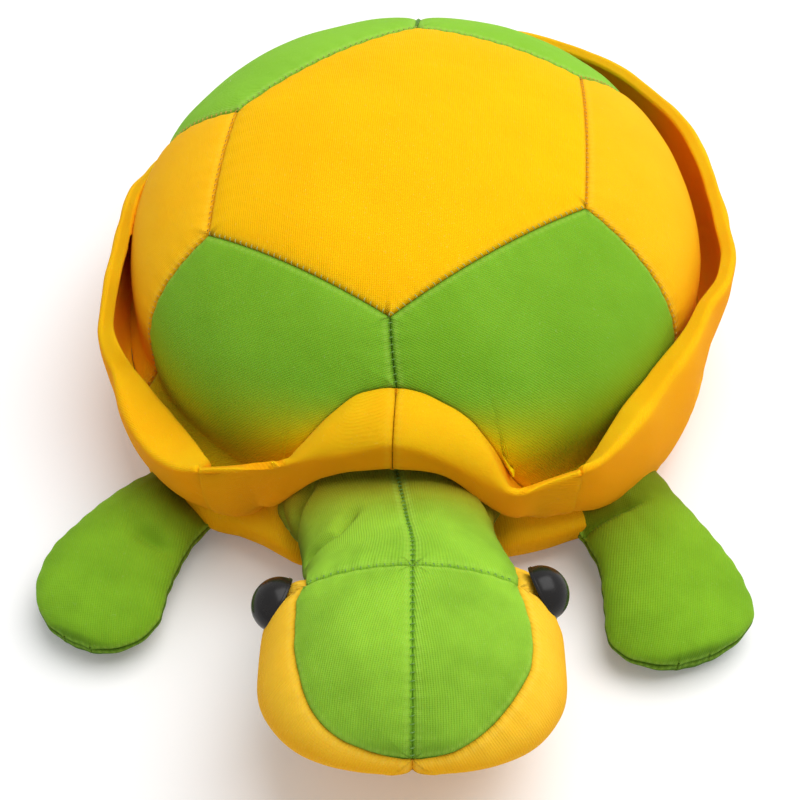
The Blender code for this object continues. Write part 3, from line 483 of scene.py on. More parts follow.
# cloth in one colour: knit and seam effects one after the other, with painted shade in the seams'
# grooves and a painted highlight beside them, and a soft nap on top
def knitMaterial(name, base, deep, line, ridgeHighlight, grooveShadeShare=0.7, ridgeHighlightShare=0.2, ribHeight=0.05,
                 sheen=0.10, mottle=0.35, bounceShadeColour=(0.5, 0.3, 0.0), bounceShadeShare=0.0,
                 glow=0.12, glowReach=0.004):
    material, tree, shader = newMaterial(name)
    knit = tree.nodes.new("ShaderNodeGroup")
    knit.node_tree = knitGroup
    tree.links.new(place3(tree), knit.inputs["Point"])
    tree.links.new(readField(tree, "clothPlace", "Vector"), knit.inputs["Place"])
    # share of painted light, lower where the cloth faces down
    tree.links.new(readField(tree, "paintedLightShare", "Fac"), knit.inputs["Painted Light Share"])
    for label, value in (("Base", (*base, 1)), ("Deep Dye And Shade", (*deep, 1)), ("Mottle", mottle),
                         ("Rib Height", ribHeight)):
        knit.inputs[label].default_value = value
    seam = tree.nodes.new("ShaderNodeGroup")
    seam.node_tree = seamGroup
    colour = knit.outputs["Color"]
    # near the brim the cloth takes its bounce colour: painted light bounced from the brim on the
    # shell, painted shade under the brim on neck and flippers
    if bounceShadeShare:
        share = calc(tree, "MULTIPLY", readField(tree, "brimBounceShade", "Fac"), bounceShadeShare)
        colour = blendColour(tree, "MIX", share, colour, (*bounceShadeColour, 1))
    tree.links.new(colour, seam.inputs["Color"])
    tree.links.new(readField(tree, "seamDist", "Fac"), seam.inputs["Distance"])
    tree.links.new(readField(tree, "seamRun", "Fac"), seam.inputs["Run"])
    for label, value in (("Line Color", (*line, 1)), ("Ridge Color", (*ridgeHighlight, 1)),
                         ("Line", grooveShadeShare), ("Ridge Highlight", ridgeHighlightShare)):
        seam.inputs[label].default_value = value
    tree.links.new(seam.outputs["Color"], shader.inputs["Base Color"])
    tree.links.new(knit.outputs["Roughness"], shader.inputs["Roughness"])
    shader.inputs["Sheen Weight"].default_value = sheen
    shader.inputs["Sheen Roughness"].default_value = 0.45
    shader.inputs["Sheen Tint"].default_value = (*[min(1, 0.1 + 0.9 * c) for c in base], 1)
    shader.inputs["Specular IOR Level"].default_value = 0.08
    shader.inputs["Subsurface Weight"].default_value = glow
    shader.inputs["Subsurface Radius"].default_value = (1.0, 0.42, 0.04)
    shader.inputs["Subsurface Scale"].default_value = glowReach
    bumpInto(tree, shader, calc(tree, "ADD", knit.outputs["Height"], seam.outputs["Height"]))
    return material


# the deep colours are both the dye's darker tone and painted shade on cloth facing down and in rib
# valleys; the line colours paint shade in the seams' grooves, and the ridge colours a highlight
# beside them
yellowTop = knitMaterial("yellowKnitTop", (1.0, 0.545, 0.0), (0.98, 0.44, 0.0),
                         (0.42, 0.17, 0.0), (1.0, 0.62, 0.02), 0.5, 0.2)
yellowSide = knitMaterial("yellowKnitSide", (1.0, 0.535, 0.006), (1.0, 0.43, 0.0),
                          (0.55, 0.22, 0.0), (0.97, 0.60, 0.04), 0.55, 0.25)
yellowCheek = knitMaterial("yellowKnitCheek", (1.0, 0.60, 0.035), (0.95, 0.47, 0.01),
                           (0.55, 0.24, 0.0), (1.0, 0.66, 0.08), 0.5, 0.25)
yellowBrim = knitMaterial("yellowKnitBrim", (1.0, 0.555, 0.004), (1.0, 0.36, 0.0),
                          (0.60, 0.22, 0.0), (1.0, 0.60, 0.03), 0.5, 0.15, glow=0.3)
# the greens' bounce colours paint light bounced from the brim on the shell panels and shade under
# the brim on neck and flippers
greenShell = knitMaterial("greenKnitShell", (0.205, 0.455, 0.024), (0.130, 0.320, 0.006),
                          (0.03, 0.07, 0.002), (0.32, 0.56, 0.07), 0.75, 0.35,
                          bounceShadeColour=(1.0, 0.74, 0.0), bounceShadeShare=1.0)
greenBack = knitMaterial("greenKnitBack", (0.27, 0.58, 0.045), (0.20, 0.46, 0.02),
                         (0.05, 0.11, 0.004), (0.36, 0.64, 0.10), 0.7, 0.4,
                         bounceShadeColour=(0.50, 0.44, 0.0), bounceShadeShare=0.5)
greenHead = knitMaterial("greenKnitHead", (0.330, 0.650, 0.044), (0.050, 0.135, 0.004),
                         (0.11, 0.27, 0.012), (0.46, 0.76, 0.10), 0.5, 0.2, 0.07,
                         bounceShadeColour=(0.30, 0.16, 0.0), bounceShadeShare=0.9)
greenLimb = knitMaterial("greenKnitLimb", (0.245, 0.520, 0.022), (0.060, 0.150, 0.004),
                         (0.04, 0.10, 0.003), (0.34, 0.58, 0.06), 0.7, 0.3,
                         bounceShadeColour=(0.15, 0.12, 0.0), bounceShadeShare=1.0)


# thread: fine noise varies its colour and roughens its surface
def threadMaterial(name, colour):
    material, tree, shader = newMaterial(name)
    tint = blendColour(tree, "MULTIPLY", noiseOf(tree, place3(tree), 900, 2),
                       (*colour, 1), (0.7, 0.7, 0.7, 1))
    tree.links.new(tint, shader.inputs["Base Color"])
    shader.inputs["Roughness"].default_value = 0.6
    shader.inputs["Sheen Weight"].default_value = 0.2
    bumpInto(tree, shader, noiseOf(tree, place3(tree), 2500, 2), 0.2 * mm)
    return material


threadPale = threadMaterial("paleThread", (0.42, 0.48, 0.13))
threadOrange = threadMaterial("orangeThread", (0.72, 0.36, 0.03))
threadGreen = threadMaterial("greenThread", (0.16, 0.36, 0.05))


# loose fibre: fine noise for the strands and coarse noise for the tufts
def fibreMaterial():
    material, tree, shader = newMaterial("polyesterFibre")
    point = place3(tree)
    strands = noiseOf(tree, point, 700, 6, 0.8)
    tufts = noiseOf(tree, point, 90, 3)
    tint = blendColour(tree, "MIX", tufts, (0.86, 0.85, 0.81, 1), (0.72, 0.71, 0.67, 1))
    tree.links.new(tint, shader.inputs["Base Color"])
    shader.inputs["Roughness"].default_value = 0.95
    shader.inputs["Sheen Weight"].default_value = 0.4
    bumpInto(tree, shader, calc(tree, "MULTIPLY_ADD", tufts, 2.0, strands))
    return material


fibre = fibreMaterial()
print("materials made")


# Body: one smooth form for shell, wall and belly, and the seams that cross it

bodyForm = {
    "halfWidth": 0.120, "halfLength": 0.131, "crown": 0.068, "widest": 0.052,
    "bellyHalfWidth": 0.128, "bellyHalfLength": 0.139, "bellyPower": 2.45,
    "bellyRound": 0.022, "wallFoot": 0.020,
    "flareStart": 0.45,           # share of the wall below which it widens to the belly
    # height of the seam that holds the brim, by azimuth
    "rootLine": ((-180, 28), (-60, 28), (-30, 28), (-26, 28.5), (-23, 31), (-20.6, 39),
                 (-17.9, 51.9), (-14.8, 65.3), (-12.1, 73.8), (-8.3, 81.7), (-4, 84.8),
                 (0, 85.8), (4.4, 84.7), (8, 81.9), (11.6, 78.0), (14.1, 73.2), (16.5, 65.2),
                 (18.7, 53.8), (20.8, 42.3), (23, 35), (26, 32), (35, 30.5), (60, 28),
                 (180, 28)),
    # corners of the top panel: azimuth, and distance as a share of the shell's reach
    "cornerDeg": (-2.5, 66.3, 131.2, 183.0, 253.3, 300.4),
    "cornerShare": (0.695, 0.625, 0.730, 0.634, 0.661, 0.751),
    "footDeg": (0.0, 60.0, 125.0, 180.0, 250.0, 303.0),
    "edgeBow": 0.9 * mm,          # how far the top panel's edges bow outward
    # how far the belly stands out of its plain form, in mm by azimuth
    "bellyPush": ((-60, 0), (-50, 0), (-44.5, 3.6), (-40, 5.6), (-35, 5.4), (-30, 5.2), (-25, 2.8),
                  (-22, 3.0), (-17.5, 5.5), (-14.5, 7.5), (-10, 4.5), (-4, 0), (28, 0),
                  (36, 2.5), (42, 1), (50, -4), (58, -4), (66, -3), (80, 0)),
}


# reach of a rounded outline: (|sin/a|^p + |cos/b|^p)^(-1/p)
def planReach(azimuth, width, length, power):
    return ((np.abs(np.sin(azimuth)) / width) ** power
            + (np.abs(np.cos(azimuth)) / length) ** power) ** (-1 / power)


# widening of the wall from the shell to the belly: none at first, then eased
def wallFlare(down):
    return ease((down - bodyForm["flareStart"]) / (1 - bodyForm["flareStart"]))


def shellReach(azimuth):
    return planReach(azimuth, bodyForm["halfWidth"], bodyForm["halfLength"], 2)


def bellyReach(azimuth):
    return planReach(azimuth, bodyForm["bellyHalfWidth"], bodyForm["bellyHalfLength"],
                     bodyForm["bellyPower"])


# level 0 is the crown, 1 the widest line, 2 the wall's foot, 3 the edge of the flat belly and
# 4 its middle: a quarter ellipse, an eased wall, a quarter circle and a flat
def bodyPoint(azimuth, level):
    form = bodyForm
    dome = np.clip(level, 0, 1) * math.pi / 2
    wall = np.clip(level - 1, 0, 1)
    turn = np.clip(level - 2, 0, 1) * math.pi / 2
    flat = np.clip(level - 3, 0, 1)
    reach = shellReach(azimuth) * np.sin(dome)
    reach = reach + (bellyReach(azimuth) - shellReach(azimuth)) * wallFlare(wall)
    reach = (reach - form["bellyRound"] * (1 - np.cos(turn))) * (1 - flat)
    height = form["widest"] + form["crown"] * np.cos(dome)
    height = height - (form["widest"] - form["wallFoot"]) * wall
    height = height - form["wallFoot"] * np.sin(turn)
    return np.stack([reach * np.sin(azimuth), -reach * np.cos(azimuth), height], axis=-1)


def rootLevel(azimuth):
    table = np.array(bodyForm["rootLine"], float)
    away = signedDegrees(azimuth)
    height = throughKnots(table[:, 0], table[:, 1] * mm, away)
    onDome = np.arccos(np.clip((height - bodyForm["widest"]) / bodyForm["crown"], 0, 1))
    onWall = 1 + (bodyForm["widest"] - height) / (bodyForm["widest"] - bodyForm["wallFoot"])
    return np.where(height > bodyForm["widest"], onDome * 2 / math.pi, onWall)


# azimuth and level on the dome above points given in plan
def planToShell(places):
    azimuth = np.arctan2(places[..., 0], -places[..., 1])
    reach = np.hypot(places[..., 0], places[..., 1])
    share = np.clip(reach / shellReach(azimuth), 0, 1)
    return azimuth, np.arcsin(share) * 2 / math.pi


cornerTurn = np.radians(bodyForm["cornerDeg"])
cornerReach = shellReach(cornerTurn) * np.array(bodyForm["cornerShare"])
corners = np.stack([cornerReach * np.sin(cornerTurn), -cornerReach * np.cos(cornerTurn)], -1)
topMiddle = corners.mean(axis=0)


# a straight edge in plan between two corners, bowed outward by a parabola
def hexagonEdge(sector, share):
    here, after = corners[sector], corners[(sector + 1) % 6]
    outward = unit((here + after) / 2 - topMiddle)
    bow = bodyForm["edgeBow"] * 4 * share * (1 - share)
    return here + (after - here) * share[:, None] + outward * bow[:, None]


# side panel: straight in azimuth and level from the top panel's edge down to the brim's seam
def sidePanelPoints(sector, share, down):
    azimuth, level = planToShell(hexagonEdge(sector, share))
    foot = bodyForm["footDeg"]
    turn = 360 if sector == 5 else 0
    base = np.radians(foot[sector] + (foot[(sector + 1) % 6] + turn - foot[sector]) * share)
    lean = np.angle(np.exp(1j * (azimuth - base)))
    drop = rootLevel(base) - level
    return bodyPoint(base + lean * (1 - down[:, None]), level + drop * down[:, None])


evenLine = np.linspace(0, 1, 61)
hexagonSeams, sideSeams, rootSeams = [], [], []
for sector in range(6):
    hexagonSeams.append(bodyPoint(*planToShell(hexagonEdge(sector, evenLine))))
    sideSeams.append(sidePanelPoints(sector, np.zeros(1), evenLine)[:, 0])
    rootSeams.append(sidePanelPoints(sector, evenLine, np.ones(1))[0])

bodyMiddle = (0, 0, 0.045)


# polar grid over the hexagon: shares of the way from its middle to its edge
def buildTopPanel():
    share = np.linspace(0, 1, 41)[:-1]
    edge = np.concatenate([hexagonEdge(sector, share) for sector in range(6)])
    edge = np.concatenate([edge, edge[:1]])
    rows = gradedShares(84, low=0, high=1, zone=0.10)
    plan = topMiddle + (edge - topMiddle) * rows[:, None, None]
    points = bodyPoint(*planToShell(plan))
    return sewnPanel("shellTop", points, yellowTop, hexagonSeams, bodyMiddle, ring=True,
                     grainDeg=8, place=np.stack([plan[..., 0], plan[..., 1],
                                                 0 * plan[..., 0]], -1))


sidePanels = (
    ("shellFrontLeft", "shell_panel_front_left", greenShell, "green_knit", -38),
    ("shellLeft", "shell_panel_left", yellowSide, "yellow_knit", 12),
    ("shellBackLeft", "shell_panel_back_left", greenBack, "green_knit", 30),
    ("shellBackRight", "shell_panel_back_right", greenBack, "green_knit", -30),
    ("shellRight", "shell_panel_right", yellowSide, "yellow_knit", -12),
    ("shellFrontRight", "shell_panel_front_right", greenShell, "green_knit", 38),
)


def settle(piece, body, slot, *nodes, fill=None):
    if body:
        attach(piece, body)
    if nodes:
        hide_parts(*nodes)
    return piece


def buildShell():
    settle(buildTopPanel(), "torso", "yellow_knit", "shell_panel_top", fill=0.9)
    columns, rows = gradedShares(104), gradedShares(92)
    for sector, (name, node, material, slot, grain) in enumerate(sidePanels):
        points = sidePanelPoints(sector, columns, rows)
        seams = [hexagonSeams[sector], sideSeams[sector], sideSeams[(sector + 1) % 6]]
        # painted light bounced from the brim along the panels' foot
        piece = sewnPanel(name, points, material, seams, bodyMiddle, grainDeg=grain,
                          bounceShadeLines=rootSeams, bareSeams=[rootSeams[sector]])
        settle(piece, "torso", slot, node, fill=0.9)


neckForm = {
    "nodAxis": (0.0, -0.124, 0.036), "leanDeg": 10.5,
    # distance from the nod axis, half width, top and underside above the floor
    "rings": ((-16, 37, 50, 16), (-8, 40.5, 56, 11), (0, 41.0, 58.5, 8.5), (5, 38.5, 58.5, 8.5),
              (11, 35.5, 60.0, 10), (19, 33.2, 63.0, 12.5), (30, 33.0, 67.5, 15),
              (42, 34.6, 73.2, 16.5), (50, 37.4, 77.5, 16), (57, 43.0, 80.8, 11.5),
              (61.5, 47.0, 82.2, 7.5), (65.5, 50.0, 82.6, 5.2)),
    # what each side stands out beyond the half width: distance, right, left, in mm
    "sides": ((-16, 1, 3), (-5, 3, 6.5), (5, 6, 6.5), (11, 6.5, 4.5), (19, 6, 2.4), (30, 5.2, 1.2),
              (42, 4.4, 0.8), (50, 3.2, 0.4), (57, 1.2, 0), (65.5, 0, 0)),
    # folds pressed into the cloth: depth and width in mm, then their line in mm
    "folds": ((4.2, 3.2, ((-10.7, -149.4, 62.2), (-13, -155.4, 63), (-18, -165.4, 62.6),
                          (-22.9, -169.1, 57.7), (-28, -171, 48))),
              (5.0, 2.6, ((-28, -127, 54), (-30.4, -134.3, 48.7), (-32.5, -141, 42.9),
                          (-33, -150, 34), (-32, -160, 26))),
              (3.4, 2.2, ((-38, -126, 42), (-39, -134, 36), (-37, -143, 28))),
              (4.4, 2.6, ((30, -128, 54), (33, -137, 49), (37, -148, 41), (39, -155, 34)))),
    # seam of collar and gusset: distance, turn in degrees
    "gusset": ((38, 104), (46, 83), (54, 65), (59.5, 55), (65.5, 47)),
    "gussetPuff": 4.2 * mm,
    "squareness": 2.15,
    "sideSeamDeg": 104,
    "splitAt": 27.0,              # root and collar meet here, in mm from the nod axis
}
leanTurn = math.radians(neckForm["leanDeg"])
neckAhead = np.array((math.sin(leanTurn), -math.cos(leanTurn), 0))
neckLeft = np.array((math.cos(leanTurn), math.sin(leanTurn), 0))
nodAxis = np.array(neckForm["nodAxis"])


hollowForm = {
    "halfWidth": 0.043, "halfHeight": 0.031, "middle": 0.034, "depth": 16 * mm,
    "fullTo": 0.72, "fade": 0.36,  # shares of that outline
    "behind": 0.05,                # nothing gives way further back than this
}


# how deep the belly's front gives way for the neck: full inside the neck's outline seen from
# the front, fading over its border
def neckHollow(points):
    side = (points - nodAxis) @ neckLeft
    ahead = (points - nodAxis) @ neckAhead
    form = hollowForm
    reach = np.hypot(side / form["halfWidth"],
                     (points[..., 2] - form["middle"]) / form["halfHeight"])
    border = ease((reach - form["fullTo"]) / form["fade"])
    return form["depth"] * (1 - border) * (ahead > -form["behind"])


def buildBelly():
    turn = np.radians(np.linspace(0, 360, 321))
    down = np.concatenate([gradedShares(34, low=1, high=0),
                           1 + np.linspace(0, 1, 22)[1:], 2 + np.linspace(0, 1, 18)[1:] ** 0.9])
    seam = rootLevel(turn)
    level = np.where(down[:, None] < 1, seam + (2 - seam) * np.minimum(down, 1)[:, None],
                     1 + down[:, None])
    points = bodyPoint(turn + 0 * level, level)
    inward = unit(points * (1, 1, 0))
    push = np.array(bodyForm["bellyPush"], float)
    pushed = throughKnots(push[:, 0], push[:, 1] * mm, signedDegrees(turn))
    pushed = pushed * ease((level - seam) / 0.5) * (1 - ease((level - 3) / 0.3))
    points = points + inward * (pushed - neckHollow(points))[..., None]
    points[..., 2] = np.maximum(points[..., 2], 1.1 * mm)
    sewn = dict(sewing, puff=0.6 * mm, lump=0.35 * mm, lining=1.0 * mm, dipDepth=0.3 * mm)
    place = np.stack([turn * 0.135 + 0 * level, level * 0.04, 0 * level], axis=-1)
    piece = sewnPanel("bellyPanel", points, yellowSide, rootSeams, bodyMiddle, ring=True,
                      sewn=sewn, place=place)
    return settle(piece, "torso", "yellow_knit", "belly_panel", fill=0.85)


# Brim: root, crease and free edge are three lines round the body; the band is straight
# between them apart from a bulge, and its turns are rounded by averaging along each section

brimForm = {
    "crease": ((-165, 136, 61), (-150, 134, 58), (-130, 130, 55), (-113, 126, 52),
               (-104, 125, 58), (-97, 124, 64), (-88, 124, 65), (-79, 126, 64), (-71, 131, 63),
               (-63.5, 138.8, 55), (-60.3, 140.5, 53), (-57.6, 141, 52), (-55.5, 140.5, 50),
               (-53, 142.6, 49), (-49.2, 145.6, 48), (-45.3, 148.8, 48), (-40.6, 152, 48),
               (-37, 153.5, 49), (-34, 153.8, 51), (-31.5, 153.5, 53), (-29.4, 151.5, 56),
               (-27.1, 149.5, 59), (-22, 144.5, 62), (-15.8, 139.4, 65), (-11.3, 137, 68.7),
               (-6.7, 135.5, 73), (-1.2, 134.8, 79.5), (4, 134.8, 77), (8, 136, 72),
               (12, 138, 65), (15, 140, 59), (17.5, 143, 55.5), (19.5, 144, 55.5),
               (23, 143.6, 58), (27.7, 144.4, 60), (32, 145.4, 60), (42, 138.3, 62),
               (51, 133, 64), (59, 131.4, 65), (70, 129, 66), (77, 133, 66), (84, 133.5, 66),
               (92, 131, 66), (101, 131, 66), (113, 134, 66), (122, 137, 66),
               (131, 138, 66.5), (141, 139, 67), (150, 139, 67), (165, 138, 66),
               (180, 137, 64)),
    "edge": ((-58.4, 134.9, 55), (-55, 133, 48), (-52, 131.8, 46), (-48.7, 131.4, 44),
             (-44.3, 131.6, 44), (-39.4, 133.6, 45), (-34.7, 137.2, 47), (-30.9, 142.1, 50),
             (-29, 144, 50), (-26.5, 143.5, 34), (-23, 143.5, 33.5), (-20.5, 143.5, 35.5),
             (-18.2, 143.2, 40), (-16.5, 141.2, 45), (-14, 139.8, 51.5), (-11.5, 138, 58),
             (-7, 137, 63.5), (-1.2, 136.5, 67), (4, 136.4, 66.6), (7.5, 137, 65),
             (10.3, 138.3, 60), (12.8, 140, 53), (15.5, 142.6, 47), (17.3, 144.3, 43.5),
             (19.0, 145, 41), (21.5, 145.2, 39), (24, 145, 38.5), (27, 144.5, 39),
             (30, 141.5, 53), (33.9, 137, 56), (37.5, 132.3, 58), (41.4, 128.6, 60),
             (45.9, 126.5, 62), (51.3, 124.4, 63), (56, 124, 64), (57.6, 124.6, 65)),
    # sag of the band's foot over the belly: azimuth, mm outward, mm down
    "sag": ((-74, 0, 0), (-56, 2.5, 5), (-45, 4, 10), (-38, 4, 10.5), (-30, 4, 10.5),
            (-24, 4, 11), (-19, 3, 8), (-15, 0, 0), (15, 0, 0), (18.5, 3, 8), (22, 4, 10),
            (26, 3.5, 8), (33, 5, 11), (40, 5.5, 13), (48, 5.5, 13), (56, 3.5, 9),
            (70, 0, 0)),
    "lip": 5.0,                   # elsewhere the edge lies this far inside the crease, in mm
    "bulge": 3.2 * mm,
    "sunk": 0.9 * mm,             # root line inside the shell's seam
    "clearance": 2.4 * mm,        # band off the shell, from a little above its root
    # the flap lies within the band itself over these azimuths, in front of each flank
    "merged": ((-30, 0), (-28.5, 1), (-25, 1), (-18.5, 0), (18.5, 0), (24.5, 1), (28, 1),
               (29.5, 0)),
    "doubled": 0.6 * mm,          # the flap stands this far out of the band there
    "halfThick": 1.5 * mm,
    "rounding": 4,                # times that each section is averaged
}


def shellReachAt(azimuth, height):
    up = np.clip((height - bodyForm["widest"]) / bodyForm["crown"], 0, 1)
    down = (bodyForm["widest"] - height) / (bodyForm["widest"] - bodyForm["wallFoot"])
    wall = shellReach(azimuth) + (bellyReach(azimuth) - shellReach(azimuth)) * wallFlare(down)
    return np.where(height > bodyForm["widest"],
                    shellReach(azimuth) * np.sqrt(1 - up ** 2), wall)


def brimGrid(azimuth):
    form = brimForm
    degrees = np.degrees(azimuth)
    edgeTable = form["edge"] + tuple((turn, reach - form["lip"], height - 0.6)
                                     for turn, reach, height in form["crease"]
                                     if turn < -62 or turn > 60)
    outward = np.stack([np.sin(azimuth), -np.cos(azimuth), 0 * azimuth], axis=-1)
    up = upAxis

    def line(table):
        reach, height = roundLine(table, degrees)
        return outward * reach[:, None] + up * height[:, None]

    root = bodyPoint(azimuth, rootLevel(azimuth))
    rise = np.clip((root[:, 2] - bodyForm["widest"]) / bodyForm["crown"], 0, 1)[:, None]
    root = root - unit(outward + up * rise * 1.5) * form["sunk"]
    crease, edge = line(form["crease"]), line(edgeTable)
    share = np.linspace(0, 1, 27)[:, None, None]
    wall = root + (crease - root) * share
    wall = wall + unit(outward * 2 + up) * form["bulge"] * 4 * share * (1 - share)
    sag = np.array(form["sag"], float)
    away = signedDegrees(azimuth)
    out, down = (throughKnots(sag[:, 0], sag[:, k] * mm, away)[:, None] for k in (1, 2))
    wall = wall + (outward * out - up * down) * np.sin(math.pi * share ** 0.55) ** 1.5
    share = np.linspace(0, 1, 17)[1:, None, None]
    flap = crease + (edge - crease) * share
    knots, shares = np.array(form["merged"], float).T
    merged = np.interp(away, knots, shares)[None, :, None]
    lying = np.linspace(26, 7, 17)[1:]
    low = np.floor(lying).astype(int)
    onWall = wall[low] + (wall[np.minimum(low + 1, 26)] - wall[low]) * (
        lying - low)[:, None, None]
    onWall = onWall + outward * form["doubled"]
    flap = flap * (1 - ease(merged)) + onWall * ease(merged)
    grid = np.concatenate([wall, flap])
    for _ in range(form["rounding"]):
        grid[1:-1] = (grid[:-2] + 2 * grid[1:-1] + grid[2:]) / 4
    reach = np.hypot(grid[..., 0], grid[..., 1])
    off = np.minimum(np.arange(len(grid)) / 7, 1)[:, None]
    least = shellReachAt(azimuth, grid[..., 2]) + form["clearance"] * off - form["sunk"] * (
        1 - off)
    grid[..., :2] *= (np.maximum(reach, least) / reach)[..., None]
    return grid


# the band's two faces stand half its thickness to each side of the grid, and come together
# in a quarter round at the free edge
def buildBrimHalf(name, node, startDeg, endDeg):
    azimuth = np.radians(startDeg + (endDeg - startDeg) * gradedShares(380, zone=0.012))
    middle = brimGrid(azimuth)
    normals = gridNormals(middle)
    if np.sum(normals[:20] * (middle[:20] * (1, 1, 0))) < 0:
        normals = -normals
    rows = middle.shape[0]
    walk = np.linspace(0, 1, rows)
    thick = 0.35 + 0.65 * ease(walk / 0.25)
    thick = thick * np.sqrt(np.clip(1 - np.clip((walk - 0.93) / 0.07, 0, 1) ** 2, 0.02, 1))
    thick = brimForm["halfThick"] * thick[:, None, None]
    dist, run = seamField(middle, [middle[:, 0], middle[:, -1]])
    dip = 0.9 * mm * np.exp(-dist / (1.0 * mm))[..., None]
    wave = (lumps(middle * 1.6) * 0.5 * mm)[..., None] * (1 - np.exp(-dist / 0.006))[..., None]
    outer = middle + normals * (thick - dip + wave)
    inner = middle - normals * (thick - dip - wave)
    place = np.stack([np.broadcast_to(azimuth * 0.14, middle.shape[:2]),
                      np.broadcast_to(walk[:, None] * 0.07, middle.shape[:2]),
                      0 * middle[..., 0]], axis=-1)
    turned = place.copy()
    turned[..., 0] = place[..., 0] * 0.5 - place[..., 1] * 0.87
    turned[..., 1] = place[..., 0] * 0.87 + place[..., 1] * 0.5
    fields = clothFields(dist, run, turned, normals, None, middle)
    # painted shade on whichever face of the band turns down
    fields["paintedLightShare"] = np.concatenate([facingUp(face).ravel() for face in (normals, -normals)])
    both = np.concatenate([outer.reshape(-1, 3), inner.reshape(-1, 3)])
    faces = layerFaces(rows, middle.shape[1], False, False, False)
    piece = addPiece(name, both, faces, yellowBrim, fields, sharpDeg=75)
    return settle(piece, "torso", "yellow_knit", node, fill=0.15)


# Neck and head: rings along the neck's axis, each a rounded outline |x/w|^p + |z/h|^p = 1;
# the last rings swing round to the head's own section

headForm = {
    "turnAxis": (0.00993, -0.17759, 0.0435), "faceDeg": 3.5,
    "reach": 0.0776,
    # sections in mm: ahead of the axis, half width, top and underside from the head's middle
    "sections": ((0, 42.4, 35.2, -29.2), (1.6, 44, 36.1, -30.0), (10, 50.3, 39.9, -35.5),
                 (20.8, 53, 42.5, -41.0), (33.6, 53, 43.5, -41.0), (44.8, 52.2, 42.5, -31.0),
                 (56, 48.4, 38.7, -17.5), (66.4, 40.9, 31.8, -4.6), (72, 32.5, 26.0, 3.4),
                 (75.2, 25.0, 20.5, 8.4), (77.6, 0, 12.5, 12.5)),
    "backAt": 13.0,               # seam between neck and head, in mm ahead of the axis
    "noseAt": 76.4,               # there the green cap ends on the middle line
    # seam of cap and cheek: mm ahead of the axis, mm to the side of the middle line
    "browRight": ((13, 38.5), (19.4, 41.1), (36.1, 41.0), (50.1, 38.6), (60.2, 35.2),
                  (67, 30.3), (72.4, 22.3), (75.0, 13.5), (76.4, 0)),
    "browLeft": ((13, 37.0), (23.9, 40.2), (34.7, 41.8), (46.1, 40.7), (55.6, 36.5),
                 (64.3, 30.3), (72.1, 20.7), (75.0, 13.5), (76.4, 0)),
}
faceTurn = math.radians(headForm["faceDeg"])
faceAhead = np.array((math.sin(faceTurn), -math.cos(faceTurn), 0))
faceLeft = np.array((math.cos(faceTurn), math.sin(faceTurn), 0))
headMiddle = np.array(headForm["turnAxis"])
neckStart, neckEnd = -0.016, 0.0655           # along the neck from the nod axis


# half width, half height and lift of the head's section; the table is read in
# 1 - sqrt(1 - share), in which a round nose is a straight line
def headSection(share):
    table = np.array(headForm["sections"], float) * mm
    stretch = 1 - np.sqrt(1 - np.clip(share, 0, 1))
    knots = 1 - np.sqrt(1 - np.clip(table[:, 0] / headForm["reach"], 0, 1))
    wide, top, under = (throughKnots(knots, table[:, column], stretch)
                        for column in (1, 2, 3))
    return wide, (top - under) / 2, (top + under) / 2


# point of the head's skin: ahead by a share of its reach, turned from the top to its left
def headPoint(share, turn):
    wide, high, lift = headSection(share)
    ahead = share * headForm["reach"]
    side, up = wide * np.sin(turn), lift + high * np.cos(turn)
    points = (headMiddle + faceAhead * ahead[..., None] + faceLeft * side[..., None]
              + upAxis * up[..., None])
    points[..., 2] = np.maximum(points[..., 2], 0.9 * mm)
    return points


# turn at which the seam of cap and cheek lies: the angle whose side reach is in the table,
# read in the same stretched share as the sections
def browTurn(share, side):
    table = np.array(headForm["browLeft" if side > 0 else "browRight"], float) * mm
    last = table[-1, 0]
    ahead = np.minimum(share * headForm["reach"], last)
    stretch = 1 - np.sqrt(1 - ahead / last)
    across = throughKnots(1 - np.sqrt(1 - table[:, 0] / last), table[:, 1], stretch)
    wide = headSection(share)[0]
    return np.arcsin(np.clip(across / np.maximum(wide, 1e-6), 0, 1))


def neckPoint(along, turn):
    rings = np.array(neckForm["rings"], float)
    wide, top, under = (throughKnots(rings[:, 0] * mm, rings[:, column] * mm, along)
                        for column in (1, 2, 3))
    sides = np.array(neckForm["sides"], float) * mm
    right, left = (throughKnots(sides[:, 0], sides[:, k], along) for k in (1, 2))
    wide = wide + np.where(np.sin(turn) < 0, right, left)
    swing = ease((along - 0.040) / 0.026)[..., None]
    power = 2 / neckForm["squareness"]
    side = wide * np.sign(np.sin(turn)) * np.abs(np.sin(turn)) ** power
    up = (top + under) / 2 + (top - under) / 2 * np.sign(np.cos(turn)) * (
        np.abs(np.cos(turn)) ** power)
    centre = nodAxis * (1, 1, 0) + neckAhead * along[..., None]
    away = along[..., None] - 0.0525
    bent = headMiddle * (1, 1, 0) + faceAhead * away
    axis = unit(neckLeft * (1 - swing) + faceLeft * swing)
    return centre * (1 - swing) + bent * swing + axis * side[..., None] + (
        upAxis * up[..., None])


def neckSeams(first, last):
    along = np.linspace(first, last, 50)
    side = math.radians(neckForm["sideSeamDeg"])
    lines = [neckPoint(along, np.full(50, turn)) for turn in (0.0, side, -side)]
    around = np.linspace(-math.pi, math.pi, 121)
    return lines, neckPoint(np.full(121, neckEnd), around)


# plus or minus one, so that a grid's normals point away from the neck's middle
def neckSign(points):
    middle = nodAxis * (1, 1, 0) + neckAhead * 0.025 + (0, 0, 0.040)
    return np.sign((gridNormals(points) * (points - middle)).sum()) or 1.0


